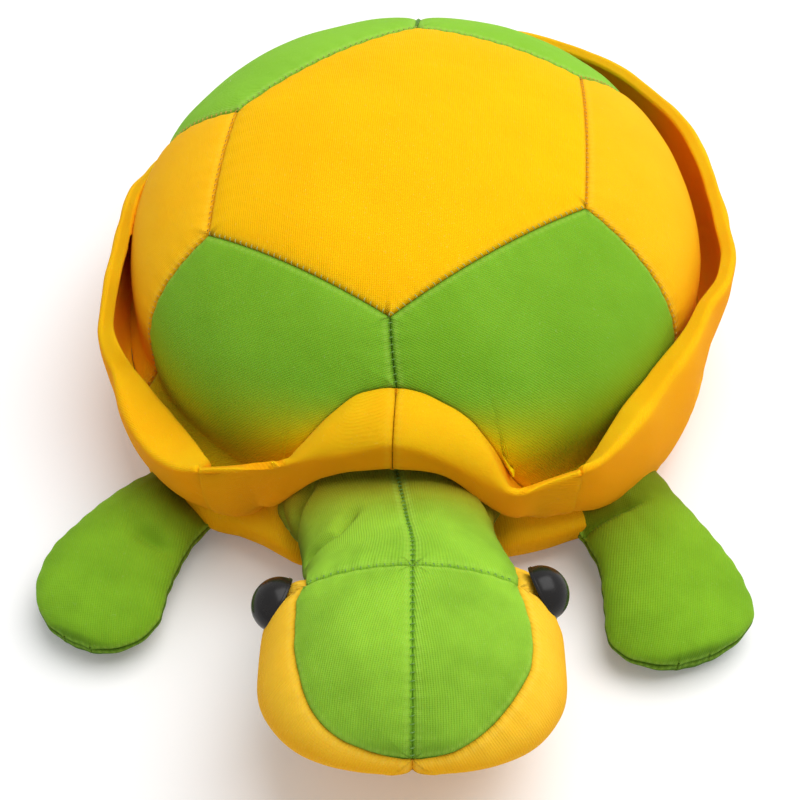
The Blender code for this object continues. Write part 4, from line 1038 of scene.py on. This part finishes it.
# depth of the folds at each point: a bell round each fold's line, fading at both ends
def pressedFolds(points, folds, cloth):
    depth = np.zeros(points.shape[:-1])
    for deep, wide, line in folds:
        line = np.array(line, float) * mm
        apart = np.linalg.norm(line[:, None] - cloth[None], axis=-1)
        line = cloth[apart.argmin(axis=1)]
        dist, run = seamField(points, [line])
        whole = np.linalg.norm(np.diff(line, axis=0), axis=1).sum()
        fade = ease(run / (0.3 * whole)) * ease((whole - run) / (0.25 * whole))
        depth = np.maximum(depth, deep * mm * np.exp(-(dist / (wide * mm)) ** 2) * fade)
    return depth


def gussetTurn(along):
    table = np.array(neckForm["gusset"], float)
    turn = np.radians(throughKnots(table[:, 0] * mm, table[:, 1], along))
    return np.where(along < table[0, 0] * mm, math.radians(table[0, 1]), turn)


# the cheek's cloth behind the eye: it fills the corner between collar and side seam and
# swells between them
def buildGusset(side, word, lines, cross):
    even = np.linspace(0, 1, 50)
    along = ((neckForm["gusset"][0][0] + 0.6 + (64.9 - neckForm["gusset"][0][0]) * even)
             * mm)[:, None]
    last = math.radians(neckForm["sideSeamDeg"])
    share = gradedShares(50)
    turn = side * (gussetTurn(along) + (last - gussetTurn(along)) * share)
    points = neckPoint(along + 0 * turn, turn)
    swell = (ease(share / 0.45) * (1 - ease((share - 0.65) / 0.35))
             * (ease(even / 0.55) * (1 - 0.8 * ease((even - 0.75) / 0.25)))[:, None])
    middle = nodAxis * (1, 1, 0) + neckAhead * 0.052 + (0, 0, 0.045)
    points = points + unit(points - middle) * (swell * neckForm["gussetPuff"])[..., None]
    seam = points[:, 0]
    sewn = dict(sewing, puff=0.5 * mm, puffWidth=6 * mm, lump=0.3 * mm, lining=1.6 * mm)
    piece = sewnPanel("cheekBack" + word, points, yellowCheek, [seam, points[:, -1], cross],
                      middle, sewn=sewn)
    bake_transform(piece)
    settle(piece, None, "yellow_knit", fill=0.8)
    return seam


def buildNeck():
    side = math.radians(neckForm["sideSeamDeg"])
    split = neckForm["splitAt"] * mm
    parts = (("neckLeft", "neck_panel_left", 0.0, side),
             ("neckUnder", "neck_underside_panel", side, 2 * math.pi - side),
             ("neckRight", "neck_panel_right", 2 * math.pi - side, 2 * math.pi))
    lines, cross = neckSeams(neckStart, neckEnd)
    allRound = np.linspace(-math.pi, math.pi, 240)
    allAlong = np.linspace(neckStart, neckEnd, 90)[:, None]
    foldCloth = neckPoint(allAlong + 0 * allRound, allRound + 0 * allAlong).reshape(-1, 3)
    # the visor's edge, beside which painted shade darkens the neck
    visorEdge = brimGrid(np.radians(np.linspace(-20, 20, 60)))[-1]
    sewn = dict(sewing, puff=0.5 * mm, puffWidth=8 * mm, lump=0.35 * mm, lining=2.2 * mm,
                grooveDepth=1.2 * mm, dipDepth=0.35 * mm)
    for word, hand in (("Left", 1), ("Right", -1)):
        lines = lines + [buildGusset(hand, word, lines, cross)]
    for name, node, first, last in parts:
        across = gradedShares(76)
        for stage, start, end in (("Root", neckStart, split + 0.002),
                                  ("Collar", split, neckEnd)):
            high = 1.0 if stage == "Collar" else 0.0
            along = start + (end - start) * gradedShares(60, low=0, high=high)
            turn = first + (last - first) * across + 0 * along[:, None]
            if stage == "Collar" and "Under" not in name:
                limit = gussetTurn(along)[:, None]
                turn = limit * across if "Left" in name else 2 * math.pi - limit * (1 - across)
            points = neckPoint(along[:, None] + 0 * turn, turn)
            points = points - gridNormals(points) * pressedFolds(
                points, neckForm["folds"], foldCloth)[..., None] * neckSign(points)
            if stage == "Root":
                pinch = ease((along - split + 0.004) / 0.006)[:, None, None]
                points = points - unit(points - neckPoint(along, 0 * along)[:, None] * (
                    1, 1, 0) - (0, 0, 0.04)) * pinch * 0.5 * mm
            place = np.stack([turn * 0.036, along[:, None] + 0 * turn, 0 * turn], axis=-1)
            piece = sewnPanel(name + stage, points, greenHead, lines + [cross],
                              nodAxis + neckAhead * (start + end) / 2, sewn=sewn, place=place,
                              bounceShadeLines=[visorEdge])
            if stage == "Root":
                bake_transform(piece)
                settle(piece, None, "green_knit", node, fill=0.8)
            else:
                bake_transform(piece)
                settle(piece, None, "green_knit", fill=0.8)


# Head: cap and cheeks are cut from one form along the brow seam; past the end of the cap the
# cheeks meet on the middle line

def buildHead():
    reach, back = headForm["reach"], headForm["backAt"] * mm
    nose = headForm["noseAt"] * mm / reach
    middle = headMiddle + faceAhead * 0.04
    run = np.linspace(back / reach, nose, 90)
    brows = {side: headPoint(run, side * browTurn(run, side)) for side in (1, -1)}
    crown = headPoint(run, 0 * run)
    front = headPoint(1 - (1 - np.linspace(0, 1, 40)) ** 2 * (1 - nose), np.zeros(40))
    keel = headPoint(np.linspace(back / reach, 0.999, 90), np.full(90, math.pi))
    around = np.linspace(-math.pi, math.pi, 121)
    cross = headPoint(np.full(121, back / reach), around)
    sewn = dict(sewing, puff=0.8 * mm, lump=0.45 * mm, grooveDepth=1.3 * mm)
    for side, word in ((1, "Left"), (-1, "Right")):
        low = word.lower()
        even = gradedShares(100)
        share = back / reach + (nose - back / reach) * (1 - (1 - even) ** 1.7)
        share = share[:, None]
        turn = side * browTurn(share, side) * gradedShares(80)
        points = headPoint(share + 0 * turn, turn)
        cap = sewnPanel("headCap" + word, points, greenHead, [crown, brows[side], cross],
                        middle, sewn=sewn, grainDeg=20 * side)
        settle(cap, "head", "green_knit", "head_panel_" + low, fill=0.85)
        even = gradedShares(130, low=1, high=0.0)
        share = (1 - (1 - back / reach) * (1 - even) ** 1.9)[:, None]
        brow = browTurn(share, side)
        turn = side * (brow + (math.pi - brow) * gradedShares(90))
        points = headPoint(share + 0 * turn, turn)
        cheek = sewnPanel("cheek" + word, points, yellowCheek,
                          [brows[side], front, keel, cross], middle, sewn=sewn,
                          grainDeg=-15 * side)
        settle(cheek, "head", "yellow_knit", "cheek_panel_" + low, fill=0.85)
    return {"crown": crown, "brows": brows, "cross": cross}


# Flippers and tail: two edge lines from root to tip in the blade's own frame, joined by
# straight rows; each face rises between them by (1 - c^2)^0.62 times the thickness there

def bladeForm(outer, inner, thick, middle):
    return {"outer": outer, "inner": inner, "thick": thick, "middle": middle}


frontLeftBlade = bladeForm(
    # share of the way to the tip, mm along, mm across
    ((-0.10, -8, 21), (0, 0, 24), (0.13, 10, 28), (0.26, 20, 30.5), (0.42, 34, 34),
     (0.56, 47, 36), (0.70, 58.5, 35.5), (0.84, 68, 30.5), (0.93, 73, 21), (1, 75.5, 10)),
    ((-0.10, -6, -19), (0, 3, -20), (0.13, 13, -17.5), (0.26, 25, -16.5), (0.42, 36, -19),
     (0.56, 46, -22), (0.70, 57, -25), (0.84, 66.5, -21), (0.93, 72.5, -12), (1, 75.5, -3)),
    ((-0.10, 15.0), (0, 15.5), (0.09, 12.6), (0.2, 13.0), (0.35, 13.2), (0.5, 12.8),
     (0.7, 11.8), (0.85, 9.2), (0.95, 5.2), (1, 0.0)),
    ((-0.10, 20), (0, 18.5), (0.12, 16), (0.3, 15.5), (0.6, 13.8), (0.85, 12.2), (1, 11)))
frontRightBlade = bladeForm(
    ((-0.10, -8, 15), (0, 0, 18), (0.13, 10, 23), (0.26, 21, 27), (0.42, 37, 31.5),
     (0.56, 50, 34), (0.70, 63, 32), (0.84, 74, 25.5), (0.93, 80, 17), (1, 82.5, 8)),
    ((-0.10, -6, -20), (0, 3, -21), (0.13, 13, -18), (0.26, 25, -16), (0.42, 37, -17),
     (0.56, 48, -19), (0.70, 61, -22.5), (0.84, 72, -19.5), (0.93, 79, -12), (1, 82.5, -4)),
    ((-0.10, 8.0), (0, 9.0), (0.13, 10.6), (0.3, 12.2), (0.5, 12.8), (0.7, 12.0), (0.85, 9.2),
     (0.95, 5.2), (1, 0.0)),
    ((-0.10, 13.5), (0, 13.5), (0.3, 13.5), (0.6, 13.2), (0.85, 12.2), (1, 11)))
rearBlade = bladeForm(
    ((-0.16, -7, 13), (0, 0, 16), (0.25, 11, 19), (0.5, 23, 20), (0.7, 31, 18), (0.85, 37, 13.5),
     (0.95, 40.5, 8), (1, 42, 3.5)),
    ((-0.16, -7, -13), (0, 0, -16), (0.25, 11, -18), (0.5, 23, -19.5), (0.7, 31, -18),
     (0.85, 37, -13.5), (0.95, 40.5, -8), (1, 42, -3.5)),
    ((-0.16, 8), (0, 8.5), (0.3, 10), (0.6, 10), (0.85, 7), (0.95, 4), (1, 0)),
    ((-0.16, 16), (0, 15.5), (0.5, 13), (1, 10.5)))
tailBlade = bladeForm(
    ((-0.18, -6, 9), (0, 0, 10), (0.35, 12, 8.6), (0.65, 23, 6), (0.88, 31, 3.6), (1, 34, 1.6)),
    ((-0.18, -6, -9), (0, 0, -10), (0.35, 12, -8.6), (0.65, 23, -6), (0.88, 31, -3.6),
     (1, 34, -1.6)),
    ((-0.18, 6), (0, 6.4), (0.4, 6.2), (0.7, 4.4), (0.9, 2.2), (1, 0)),
    ((-0.18, 15.5), (0, 15), (0.5, 11.5), (1, 8)))

limbs = {
    # place of the root, direction of the blade in degrees of azimuth, and its form
    "FrontLeft": (frontLeftBlade, (0.0850, -0.1087), 21.4, 1, "front_flipper_left"),
    "FrontRight": (frontRightBlade, (-0.0850, -0.1087), -21.4, -1, "front_flipper_right"),
    "RearLeft": (rearBlade, (0.0671, 0.1262), 150.0, 1, "rear_flipper_left"),
    "RearRight": (rearBlade, (-0.0670, 0.1259), -150.0, -1, "rear_flipper_right"),
    "Tail": (tailBlade, (0.0, 0.1388), 180.0, 1, "tail"),
}


def bladePoint(limb, walk, across, face):
    form, (rootX, rootY), degrees, side, _ = limb
    tables = {key: np.array(form[key], float) for key in ("outer", "inner", "thick", "middle")}
    outer = throughKnots(tables["outer"][:, 0], tables["outer"][:, 1:] * mm, walk)
    inner = throughKnots(tables["inner"][:, 0], tables["inner"][:, 1:] * mm, walk)
    thick = throughKnots(tables["thick"][:, 0], tables["thick"][:, 1] * mm, walk)
    middle = throughKnots(tables["middle"][:, 0], tables["middle"][:, 1] * mm, walk)
    spot = inner + (outer - inner) * ((across + 1) / 2)[..., None]
    turn = math.radians(degrees)
    ahead = np.array((math.sin(turn), -math.cos(turn)))
    beside = np.array((math.cos(turn), math.sin(turn))) * side
    if abs(degrees) > 90:
        beside = -beside
    plan = np.array((rootX, rootY)) + spot[..., :1] * ahead + spot[..., 1:] * beside
    swell = np.clip(1 - across ** 2, 0, 1) ** 0.62
    height = middle + face * thick * swell
    return np.concatenate([plan, np.maximum(height, 0.8 * mm)[..., None]], axis=-1)


limbFolds = {
    # where along the blade, how wide there, and how deep; across runs from -1 to 1
    "crease": {"at": 0.115, "wide": 0.024, "deep": 4.2 * mm},
    "dent": {"at": 0.39, "wide": 0.052, "across": -0.45, "acrossWide": 0.34, "deep": 5.0 * mm},
    "tuck": {"at": 0.02, "wide": 0.20, "deep": 8.0 * mm},    # root drawn in under the belly
    "gather": 0.9 * mm, "tailGather": 0.3 * mm, "gatherReach": 0.16,
    "floor": 0.8 * mm,
}


# the folds of one blade's upper face: a crease over the root of the left front flipper, and a
# root tucked in and a dent in the right one; each fades toward the edge that it starts from
def limbFoldDepth(word, walk, across):
    crease, dent, tuck = (limbFolds[key] for key in ("crease", "dent", "tuck"))
    if word == "FrontLeft":
        along = np.exp(-((walk - crease["at"]) / crease["wide"]) ** 2)[:, None]
        return crease["deep"] * (along * ease((0.45 - across) / 0.6)
                                 * ease((across + 1) / 0.1))
    if word == "FrontRight":
        along = (1 - ease((walk - tuck["at"]) / tuck["wide"]))[:, None]
        drawn = along * ease((0.3 - across) / 0.8) * ease((across + 1) / 0.15)
        hollow = np.exp(-((walk - dent["at"]) / dent["wide"]) ** 2)[:, None] * np.exp(
            -((across - dent["across"]) / dent["acrossWide"]) ** 2)
        return tuck["deep"] * drawn + dent["deep"] * hollow
    return 0.0


def buildLimbs():
    sewn = dict(sewing, puff=0.7 * mm, puffWidth=7 * mm, lump=0.5 * mm, lining=1.8 * mm,
                grooveDepth=1.2 * mm, dipDepth=0.4 * mm, pucker=0.3 * mm)
    azimuth = np.radians(np.arange(-180, 181, 2.0))
    # the brim's sagging foot, beside which painted shade darkens the flippers
    sagLine = brimGrid(azimuth)[6]
    for word, limb in limbs.items():
        form, root, degrees, side, node = limb
        first = form["outer"][0][0]
        tail = word == "Tail"
        name = "tail" if tail else "flipper" + word
        walk = first + (1 - first) * (1 - (1 - gradedShares(96, low=0, high=0)) ** 1.5)
        across = np.sin(np.linspace(-1, 1, 75) * math.pi / 2)
        line = first + (1 - first) * np.linspace(0, 1, 80)
        edges = [bladePoint(limb, line, np.full(80, end), 1) for end in (-1.0, 1.0)]
        edges = edges + [bladePoint(limb, np.ones(24), np.linspace(-1, 1, 24), 1)]
        gather = limbFolds["tailGather" if tail else "gather"] * np.exp(
            -(walk - first) / limbFolds["gatherReach"])[:, None]
        if tail:
            sewn = dict(sewn, pucker=0.08 * mm, puff=0.4 * mm, grooveDepth=0.7 * mm,
                        dipDepth=0.2 * mm, lump=0.2 * mm)
        for face, part in ((1, "Top"), (-1, "Under")):
            points = bladePoint(limb, walk[:, None] + 0 * across, across + 0 * walk[:, None],
                                face)
            fold = np.sin(across * 13 + 2.1 * np.sin(across * 4 + side)) * (1 - across ** 2)
            points[..., 2] += face * gather * fold
            if face > 0:
                points[..., 2] -= limbFoldDepth(word, walk, across)
            points[..., 2] = np.maximum(points[..., 2], limbFolds["floor"])
            middle = bladePoint(limb, np.array(0.4), np.array(0.0), 0)
            piece = sewnPanel(name + part, points, greenLimb, edges, middle, sewn=sewn,
                              grainDeg=25 * side, bounceShadeLines=[sagLine])
            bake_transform(piece)
            panel = node + ("_top_panel" if face > 0 else "_bottom_panel")
            settle(piece, None, "green_knit", panel, fill=0.75)


# Eyes: a black dome on a flat flange with a shank, spun about the eye's own axis

eyeForm = {
    "radius": 0.0103, "dome": 0.0088, "flange": 0.0012, "dish": 0.0009,
    "shankRadius": 0.0030, "shankLength": 0.0115, "segments": 96,
    "domeDeg": 86.0,              # the dome's arc from its top to the flange
    "ledge": 0.35 * mm, "corner": 0.25 * mm,
    "backDeg": 73.0, "upDeg": 22.0,
    "sunk": {"left": 3.0 * mm, "right": 1.2 * mm},
    "moved": {"left": np.array((0, 0.0015, 0.0020)), "right": np.array((0, -0.0020, -0.0015))},
}


def eyeMaterial():
    material, tree, shader = newMaterial("blackEyePlastic")
    point = place3(tree)
    smear = noiseOf(tree, point, 160, 4, 0.6)
    tint = blendColour(tree, "MIX", smear, (0.006, 0.006, 0.007, 1), (0.012, 0.010, 0.009, 1))
    tree.links.new(tint, shader.inputs["Base Color"])
    tree.links.new(calc(tree, "MULTIPLY_ADD", smear, 0.16, 0.18), shader.inputs["Roughness"])
    shader.inputs["Specular IOR Level"].default_value = 0.22
    bumpInto(tree, shader, noiseOf(tree, point, 420, 2), 0.06 * mm, 0.35)
    return material


# a profile of radius and height carried once round an axis
def spun(name, profile, segments, origin, axis, material):
    axis = unit(np.asarray(axis, float))
    side = unit(np.cross(axis, (0, 0, 1.0)))
    other = np.cross(axis, side)
    turn = np.linspace(0, 2 * math.pi, segments + 1)
    ring = side * np.cos(turn)[:, None] + other * np.sin(turn)[:, None]
    profile = np.asarray(profile, float)
    points = origin + profile[:, None, :1] * ring + profile[:, None, 1:] * axis
    return addPiece(name, points, gridFaces(*points.shape[:2]), material, sharpDeg=40)


def buildEyes():
    form = eyeForm
    material = eyeMaterial()
    top = form["flange"] - form["dish"]
    last = math.radians(form["domeDeg"])
    arc = np.linspace(0, 1, 30) * last
    foot = form["radius"] - form["ledge"]
    dome = np.stack([foot * np.sin(arc) / math.sin(last),
                     top + form["dome"] * (np.cos(arc) - math.cos(last)) / (1 - math.cos(last))],
                    axis=-1)
    corner = np.linspace(0, math.pi / 2, 6)
    soft = form["corner"]
    rim = np.stack([form["radius"] - soft + soft * np.sin(corner),
                    top - soft + soft * np.cos(corner)], axis=-1)
    low = np.stack([form["radius"] - soft + soft * np.cos(corner),
                    -form["dish"] + soft - soft * np.sin(corner)], axis=-1)
    shank = np.array([(form["shankRadius"], 0.0), (form["shankRadius"], -form["shankLength"]),
                      (0.0, -form["shankLength"])])
    profile = np.concatenate([dome, [(foot, top)], rim, low, shank])
    profile[0, 0] = 0
    for side, word in ((1, "left"), (-1, "right")):
        back, up = math.radians(form["backDeg"]), math.radians(form["upDeg"])
        aim = (faceLeft * side * math.sin(back) * math.cos(up)
               - faceAhead * math.cos(back) * math.cos(up) + np.array((0, 0, math.sin(up))))
        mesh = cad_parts["eye_" + word].data
        spots = np.empty(len(mesh.vertices) * 3)
        mesh.vertices.foreach_get("co", spots)
        spots = spots.reshape(-1, 3)
        peak = spots[(spots @ aim).argmax()]
        origin = peak - aim * (top + form["dome"] + form["sunk"][word]) + form["moved"][word]
        eye = spun("eye" + word.capitalize(), profile, form["segments"], origin, aim, material)
        settle(eye, "head", "eye_plastic", "eye_" + word)
        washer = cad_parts["eye_washer_" + word]
        for slotIndex in range(len(washer.data.materials)):
            washer.data.materials[slotIndex] = material


# Stitches: short bent threads laid across a seam at an even pitch; each is a tube of six
# sides whose middle stands up by a parabola and whose ends sink into the cloth

def stitchRow(line, away, pitch=2.8 * mm, length=1.7 * mm, radius=0.2 * mm, sink=0.95 * mm,
              slant=0.25, skip=0.0):
    legs = np.linalg.norm(np.diff(line, axis=0), axis=1)
    walked = np.concatenate([[0], np.cumsum(legs)])
    at = np.arange(pitch * (0.5 + skip), walked[-1], pitch)
    spot = np.stack([np.interp(at, walked, line[:, k]) for k in range(3)], axis=-1)
    ahead = np.stack([np.interp(at + 0.4 * mm, walked, line[:, k]) for k in range(3)], -1) - (
        np.stack([np.interp(at - 0.4 * mm, walked, line[:, k]) for k in range(3)], -1))
    ahead = unit(ahead)
    outward = unit(spot - away)
    outward = unit(outward - ahead * (outward * ahead).sum(axis=1, keepdims=True))
    across = unit(np.cross(ahead, outward) + ahead * slant)
    along = np.linspace(-1, 1, 7)
    around = np.linspace(0, 2 * math.pi, 7)[:-1]
    taper = np.sqrt(np.clip(1 - along ** 2, 0.02, 1)) ** 0.5
    rise = (1 - along ** 2) * 0.5 * mm - sink
    third = np.cross(across, outward)
    ring = (np.cos(around)[:, None] * outward[:, None, None]
            + np.sin(around)[:, None] * third[:, None, None])
    points = (spot[:, None, None] + across[:, None, None] * along[:, None, None] * length / 2
              + outward[:, None, None] * rise[:, None, None]
              + ring * (radius * taper)[:, None, None])
    return points.reshape(len(at), -1, 3)


# the six-sided tube's faces, ring by ring, and its numbered points
def tubeFaces(rings=7, sides=6):
    grid = np.arange(rings * sides).reshape(rings, sides)
    after = np.roll(grid, -1, axis=1)
    quads = np.stack([grid[:-1], after[:-1], after[1:], grid[1:]], axis=-1).reshape(-1, 4)
    return quads, grid


def addStitches(name, rows, material, body, blend=None):
    points = np.concatenate(rows)
    quads, grid = tubeFaces()
    offset = np.arange(len(points))[:, None, None] * grid.size
    faces = (quads[None] + offset).reshape(-1, 4).tolist()
    caps = []
    for ring in (grid[0][::-1], grid[-1]):
        caps += (ring[None] + offset[:, 0]).tolist()
    mesh = bpy.data.meshes.new(name)
    mesh.from_pydata(points.reshape(-1, 3).tolist(), [], faces + caps)
    work = bmesh.new()
    work.from_mesh(mesh)
    bmesh.ops.recalc_face_normals(work, faces=work.faces)
    work.to_mesh(mesh)
    work.free()
    mesh.shade_smooth()
    mesh.materials.append(material)
    piece = bpy.data.objects.new(name, mesh)
    bpy.context.collection.objects.link(piece)
    if blend:
        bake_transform(piece)
    else:
        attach(piece, body)
    return piece


# Stuffing: the same surfaces further in, closed at both ends, with larger lumps

def stuffingLump(name, points, body, node, inset=4.2 * mm, floor=3 * mm):
    normals = gridNormals(points, True)
    middle = points.reshape(-1, 3).mean(axis=0)
    if np.sum(normals * (points - middle)) < 0:
        normals = -normals
    swell = (lumps(points * 2.2) * 0.8 * mm)[..., None]
    inside = points - normals * (inset - swell)
    inside[..., 2] = np.maximum(inside[..., 2], floor)
    ends = [np.broadcast_to(inside[row].mean(axis=0), inside[:1].shape) for row in (0, -1)]
    inside = np.concatenate([ends[0], inside, ends[1]])
    piece = addPiece(name, inside, gridFaces(*inside.shape[:2]), fibre)
    return settle(piece, body, "stuffing", node, fill=0.8)


def buildStuffing():
    turn = np.radians(np.linspace(0, 360, 97))
    level = np.linspace(0.03, 3.6, 60)[:, None]
    points = bodyPoint(turn + 0 * level, level + 0 * turn)
    points = points - unit(points * (1, 1, 0)) * (neckHollow(points) * 1.2)[..., None]
    stuffingLump("bodyStuffing", points, "torso", "body_filling", inset=5 * mm)
    share = np.linspace(0.17, 0.985, 40)[:, None]
    around = np.linspace(0, 2 * math.pi, 65)
    stuffingLump("headStuffing", headPoint(share + 0 * around, around + 0 * share), "head",
                 "head_filling")
    along = np.linspace(0.014, 0.046, 24)[:, None]
    stuffingLump("neckStuffing", neckPoint(along + 0 * around, around + 0 * along), "neck",
                 "neck_filling", inset=8 * mm)
    for word, limb in limbs.items():
        walk = np.linspace(0.20, 0.90, 30)[:, None]
        across = np.sin(np.linspace(-1, 1, 21) * math.pi / 2) * 0.86
        top = bladePoint(limb, walk + 0 * across, across + 0 * walk, 1)
        under = bladePoint(limb, walk + 0 * across, across + 0 * walk, -1)[:, ::-1]
        ring = np.concatenate([top, under[:, 1:-1], top[:, :1]], axis=1)
        name = "tailStuffing" if word == "Tail" else "flipper" + word + "Stuffing"
        stuffingLump(name, ring, limb[4], limb[4] + "_filling",
                     inset=2.6 * mm if word == "Tail" else 3.6 * mm)


buildShell()
print("shell panels sewn")
buildBelly()
buildBrimHalf("brimLeft", "brim_left", 0.05, 179.95)
buildBrimHalf("brimRight", "brim_right", 180.05, 359.95)
print("belly and brim sewn")
buildNeck()
headLines = buildHead()
print("neck and head sewn")
buildLimbs()
buildEyes()
print("limbs and eyes in place")

shellStitches = [stitchRow(hexagonSeams[k], bodyMiddle) for k in (0, 2, 3, 5)]
addStitches("stitchesShell", shellStitches, threadPale, "torso")
yellowStitches = [stitchRow(hexagonSeams[k], bodyMiddle) for k in (1, 4)]
yellowStitches += [stitchRow(sideSeams[k], bodyMiddle, skip=0.5) for k in (1, 2, 4, 5)]
addStitches("stitchesYellow", yellowStitches, threadOrange, "torso")
addStitches("stitchesFront", [stitchRow(sideSeams[k], bodyMiddle, skip=0.5) for k in (0, 3)],
            threadGreen, "torso")
headCentre = headMiddle + faceAhead * 0.04
topCross = headLines["cross"][30:91]
ends = [line[seamField(line[None], [headLines["cross"]])[0].argmin()] @ faceLeft
        for line in headLines["brows"].values()]
topCross = topCross[(topCross @ faceLeft > min(ends) + 1 * mm)
                    & (topCross @ faceLeft < max(ends) - 1 * mm)]
addStitches("stitchesHead", [stitchRow(headLines["crown"], headCentre),
                             stitchRow(topCross, headCentre, sink=0.9 * mm)],
            threadGreen, "head")
neckTop = neckSeams(0.004, neckEnd)[0][0]
addStitches("stitchesNeck", [stitchRow(neckTop, nodAxis + neckAhead * 0.03)], threadGreen,
            None, ("neck", "head"))
print("stitches laid")
buildStuffing()
print("stuffing in place")


# Studio: pale floor that turns white for the camera, soft light from above, and the camera

studio = {
    "floorColour": (0.90, 0.90, 0.90), "floorGlow": 0.12,
    "floorSide": 4.0, "floorLevel": -0.0004,
    "overheadWatts": 30.0, "overheadSize": 1.7, "overheadAt": (0.55, 0.25, 1.65),
    "skyStrength": 0.47,
}


def buildStudio():
    floorMesh = bpy.data.meshes.new("floor")
    side, level = studio["floorSide"], studio["floorLevel"]
    floorMesh.from_pydata([(-side, -side, level), (side, -side, level), (side, side, level),
                           (-side, side, level)], [], [(0, 1, 2, 3)])
    floor = bpy.data.objects.new("floor", floorMesh)
    bpy.context.collection.objects.link(floor)
    material, tree, shader = newMaterial("paleFloor")
    grain = noiseOf(tree, place3(tree), 30, 3)
    tint = blendColour(tree, "MIX", calc(tree, "MULTIPLY", grain, 0.02),
                       (*studio["floorColour"], 1), (0.86, 0.86, 0.86, 1))
    tree.links.new(tint, shader.inputs["Base Color"])
    shader.inputs["Roughness"].default_value = 0.9
    shader.inputs["Specular IOR Level"].default_value = 0.0
    shader.inputs["Emission Color"].default_value = (1, 1, 1, 1)
    path = tree.nodes.new("ShaderNodeLightPath")
    glow = calc(tree, "MULTIPLY", path.outputs["Is Camera Ray"], studio["floorGlow"])
    tree.links.new(glow, shader.inputs["Emission Strength"])
    floorMesh.materials.append(material)

    world = bpy.data.worlds.new("studioSky")
    bpy.context.scene.world = world
    world.use_nodes = True
    tree = world.node_tree
    background = tree.nodes["Background"]
    background.inputs["Color"].default_value = (1, 1, 1, 1)
    path = tree.nodes.new("ShaderNodeLightPath")
    seen = calc(tree, "MAXIMUM", path.outputs["Is Camera Ray"], path.outputs["Is Glossy Ray"])
    seen = calc(tree, "MAXIMUM", seen, path.outputs["Is Transmission Ray"])
    strength = calc(tree, "MULTIPLY_ADD", seen, 1 - studio["skyStrength"],
                    studio["skyStrength"])
    tree.links.new(strength, background.inputs["Strength"])

    lamp = bpy.data.lights.new("overheadSoftbox", "AREA")
    lamp.shape, lamp.size = "SQUARE", studio["overheadSize"]
    lamp.energy = studio["overheadWatts"]
    overhead = bpy.data.objects.new("overheadSoftbox", lamp)
    bpy.context.collection.objects.link(overhead)
    overhead.location = studio["overheadAt"]
    away = -np.array(studio["overheadAt"])
    overhead.rotation_euler = (math.acos(-away[2] / np.linalg.norm(away)), 0,
                               math.atan2(away[1], away[0]) - math.pi / 2)


def buildCamera():
    lens = {"at": (0.0312, -0.5233, 0.5461), "downDeg": 48.65, "yawDeg": 4.17,
            "rollDeg": -0.466, "lensMm": 75.223}
    down, yaw, roll = (math.radians(lens[key]) for key in ("downDeg", "yawDeg", "rollDeg"))
    look = np.array((-math.sin(yaw) * math.cos(down), math.cos(yaw) * math.cos(down),
                     -math.sin(down)))
    level = np.array((math.cos(yaw), math.sin(yaw), 0))
    above = np.cross(level, look)
    right = level * math.cos(roll) + above * math.sin(roll)
    upward = above * math.cos(roll) - level * math.sin(roll)
    camera = bpy.data.objects.new("camera", bpy.data.cameras.new("camera"))
    bpy.context.collection.objects.link(camera)
    camera.data.sensor_width = 36
    camera.data.lens = lens["lensMm"]
    camera.data.clip_start = 0.01
    axes = np.stack([right, upward, -look, np.array(lens["at"])], axis=1)
    camera.matrix_world = Matrix(axes.tolist() + [[0, 0, 0, 1]])
    bpy.context.scene.camera = camera


buildStudio()
buildCamera()
bpy.context.scene.view_settings.view_transform = "Standard"
print("studio and camera ready")
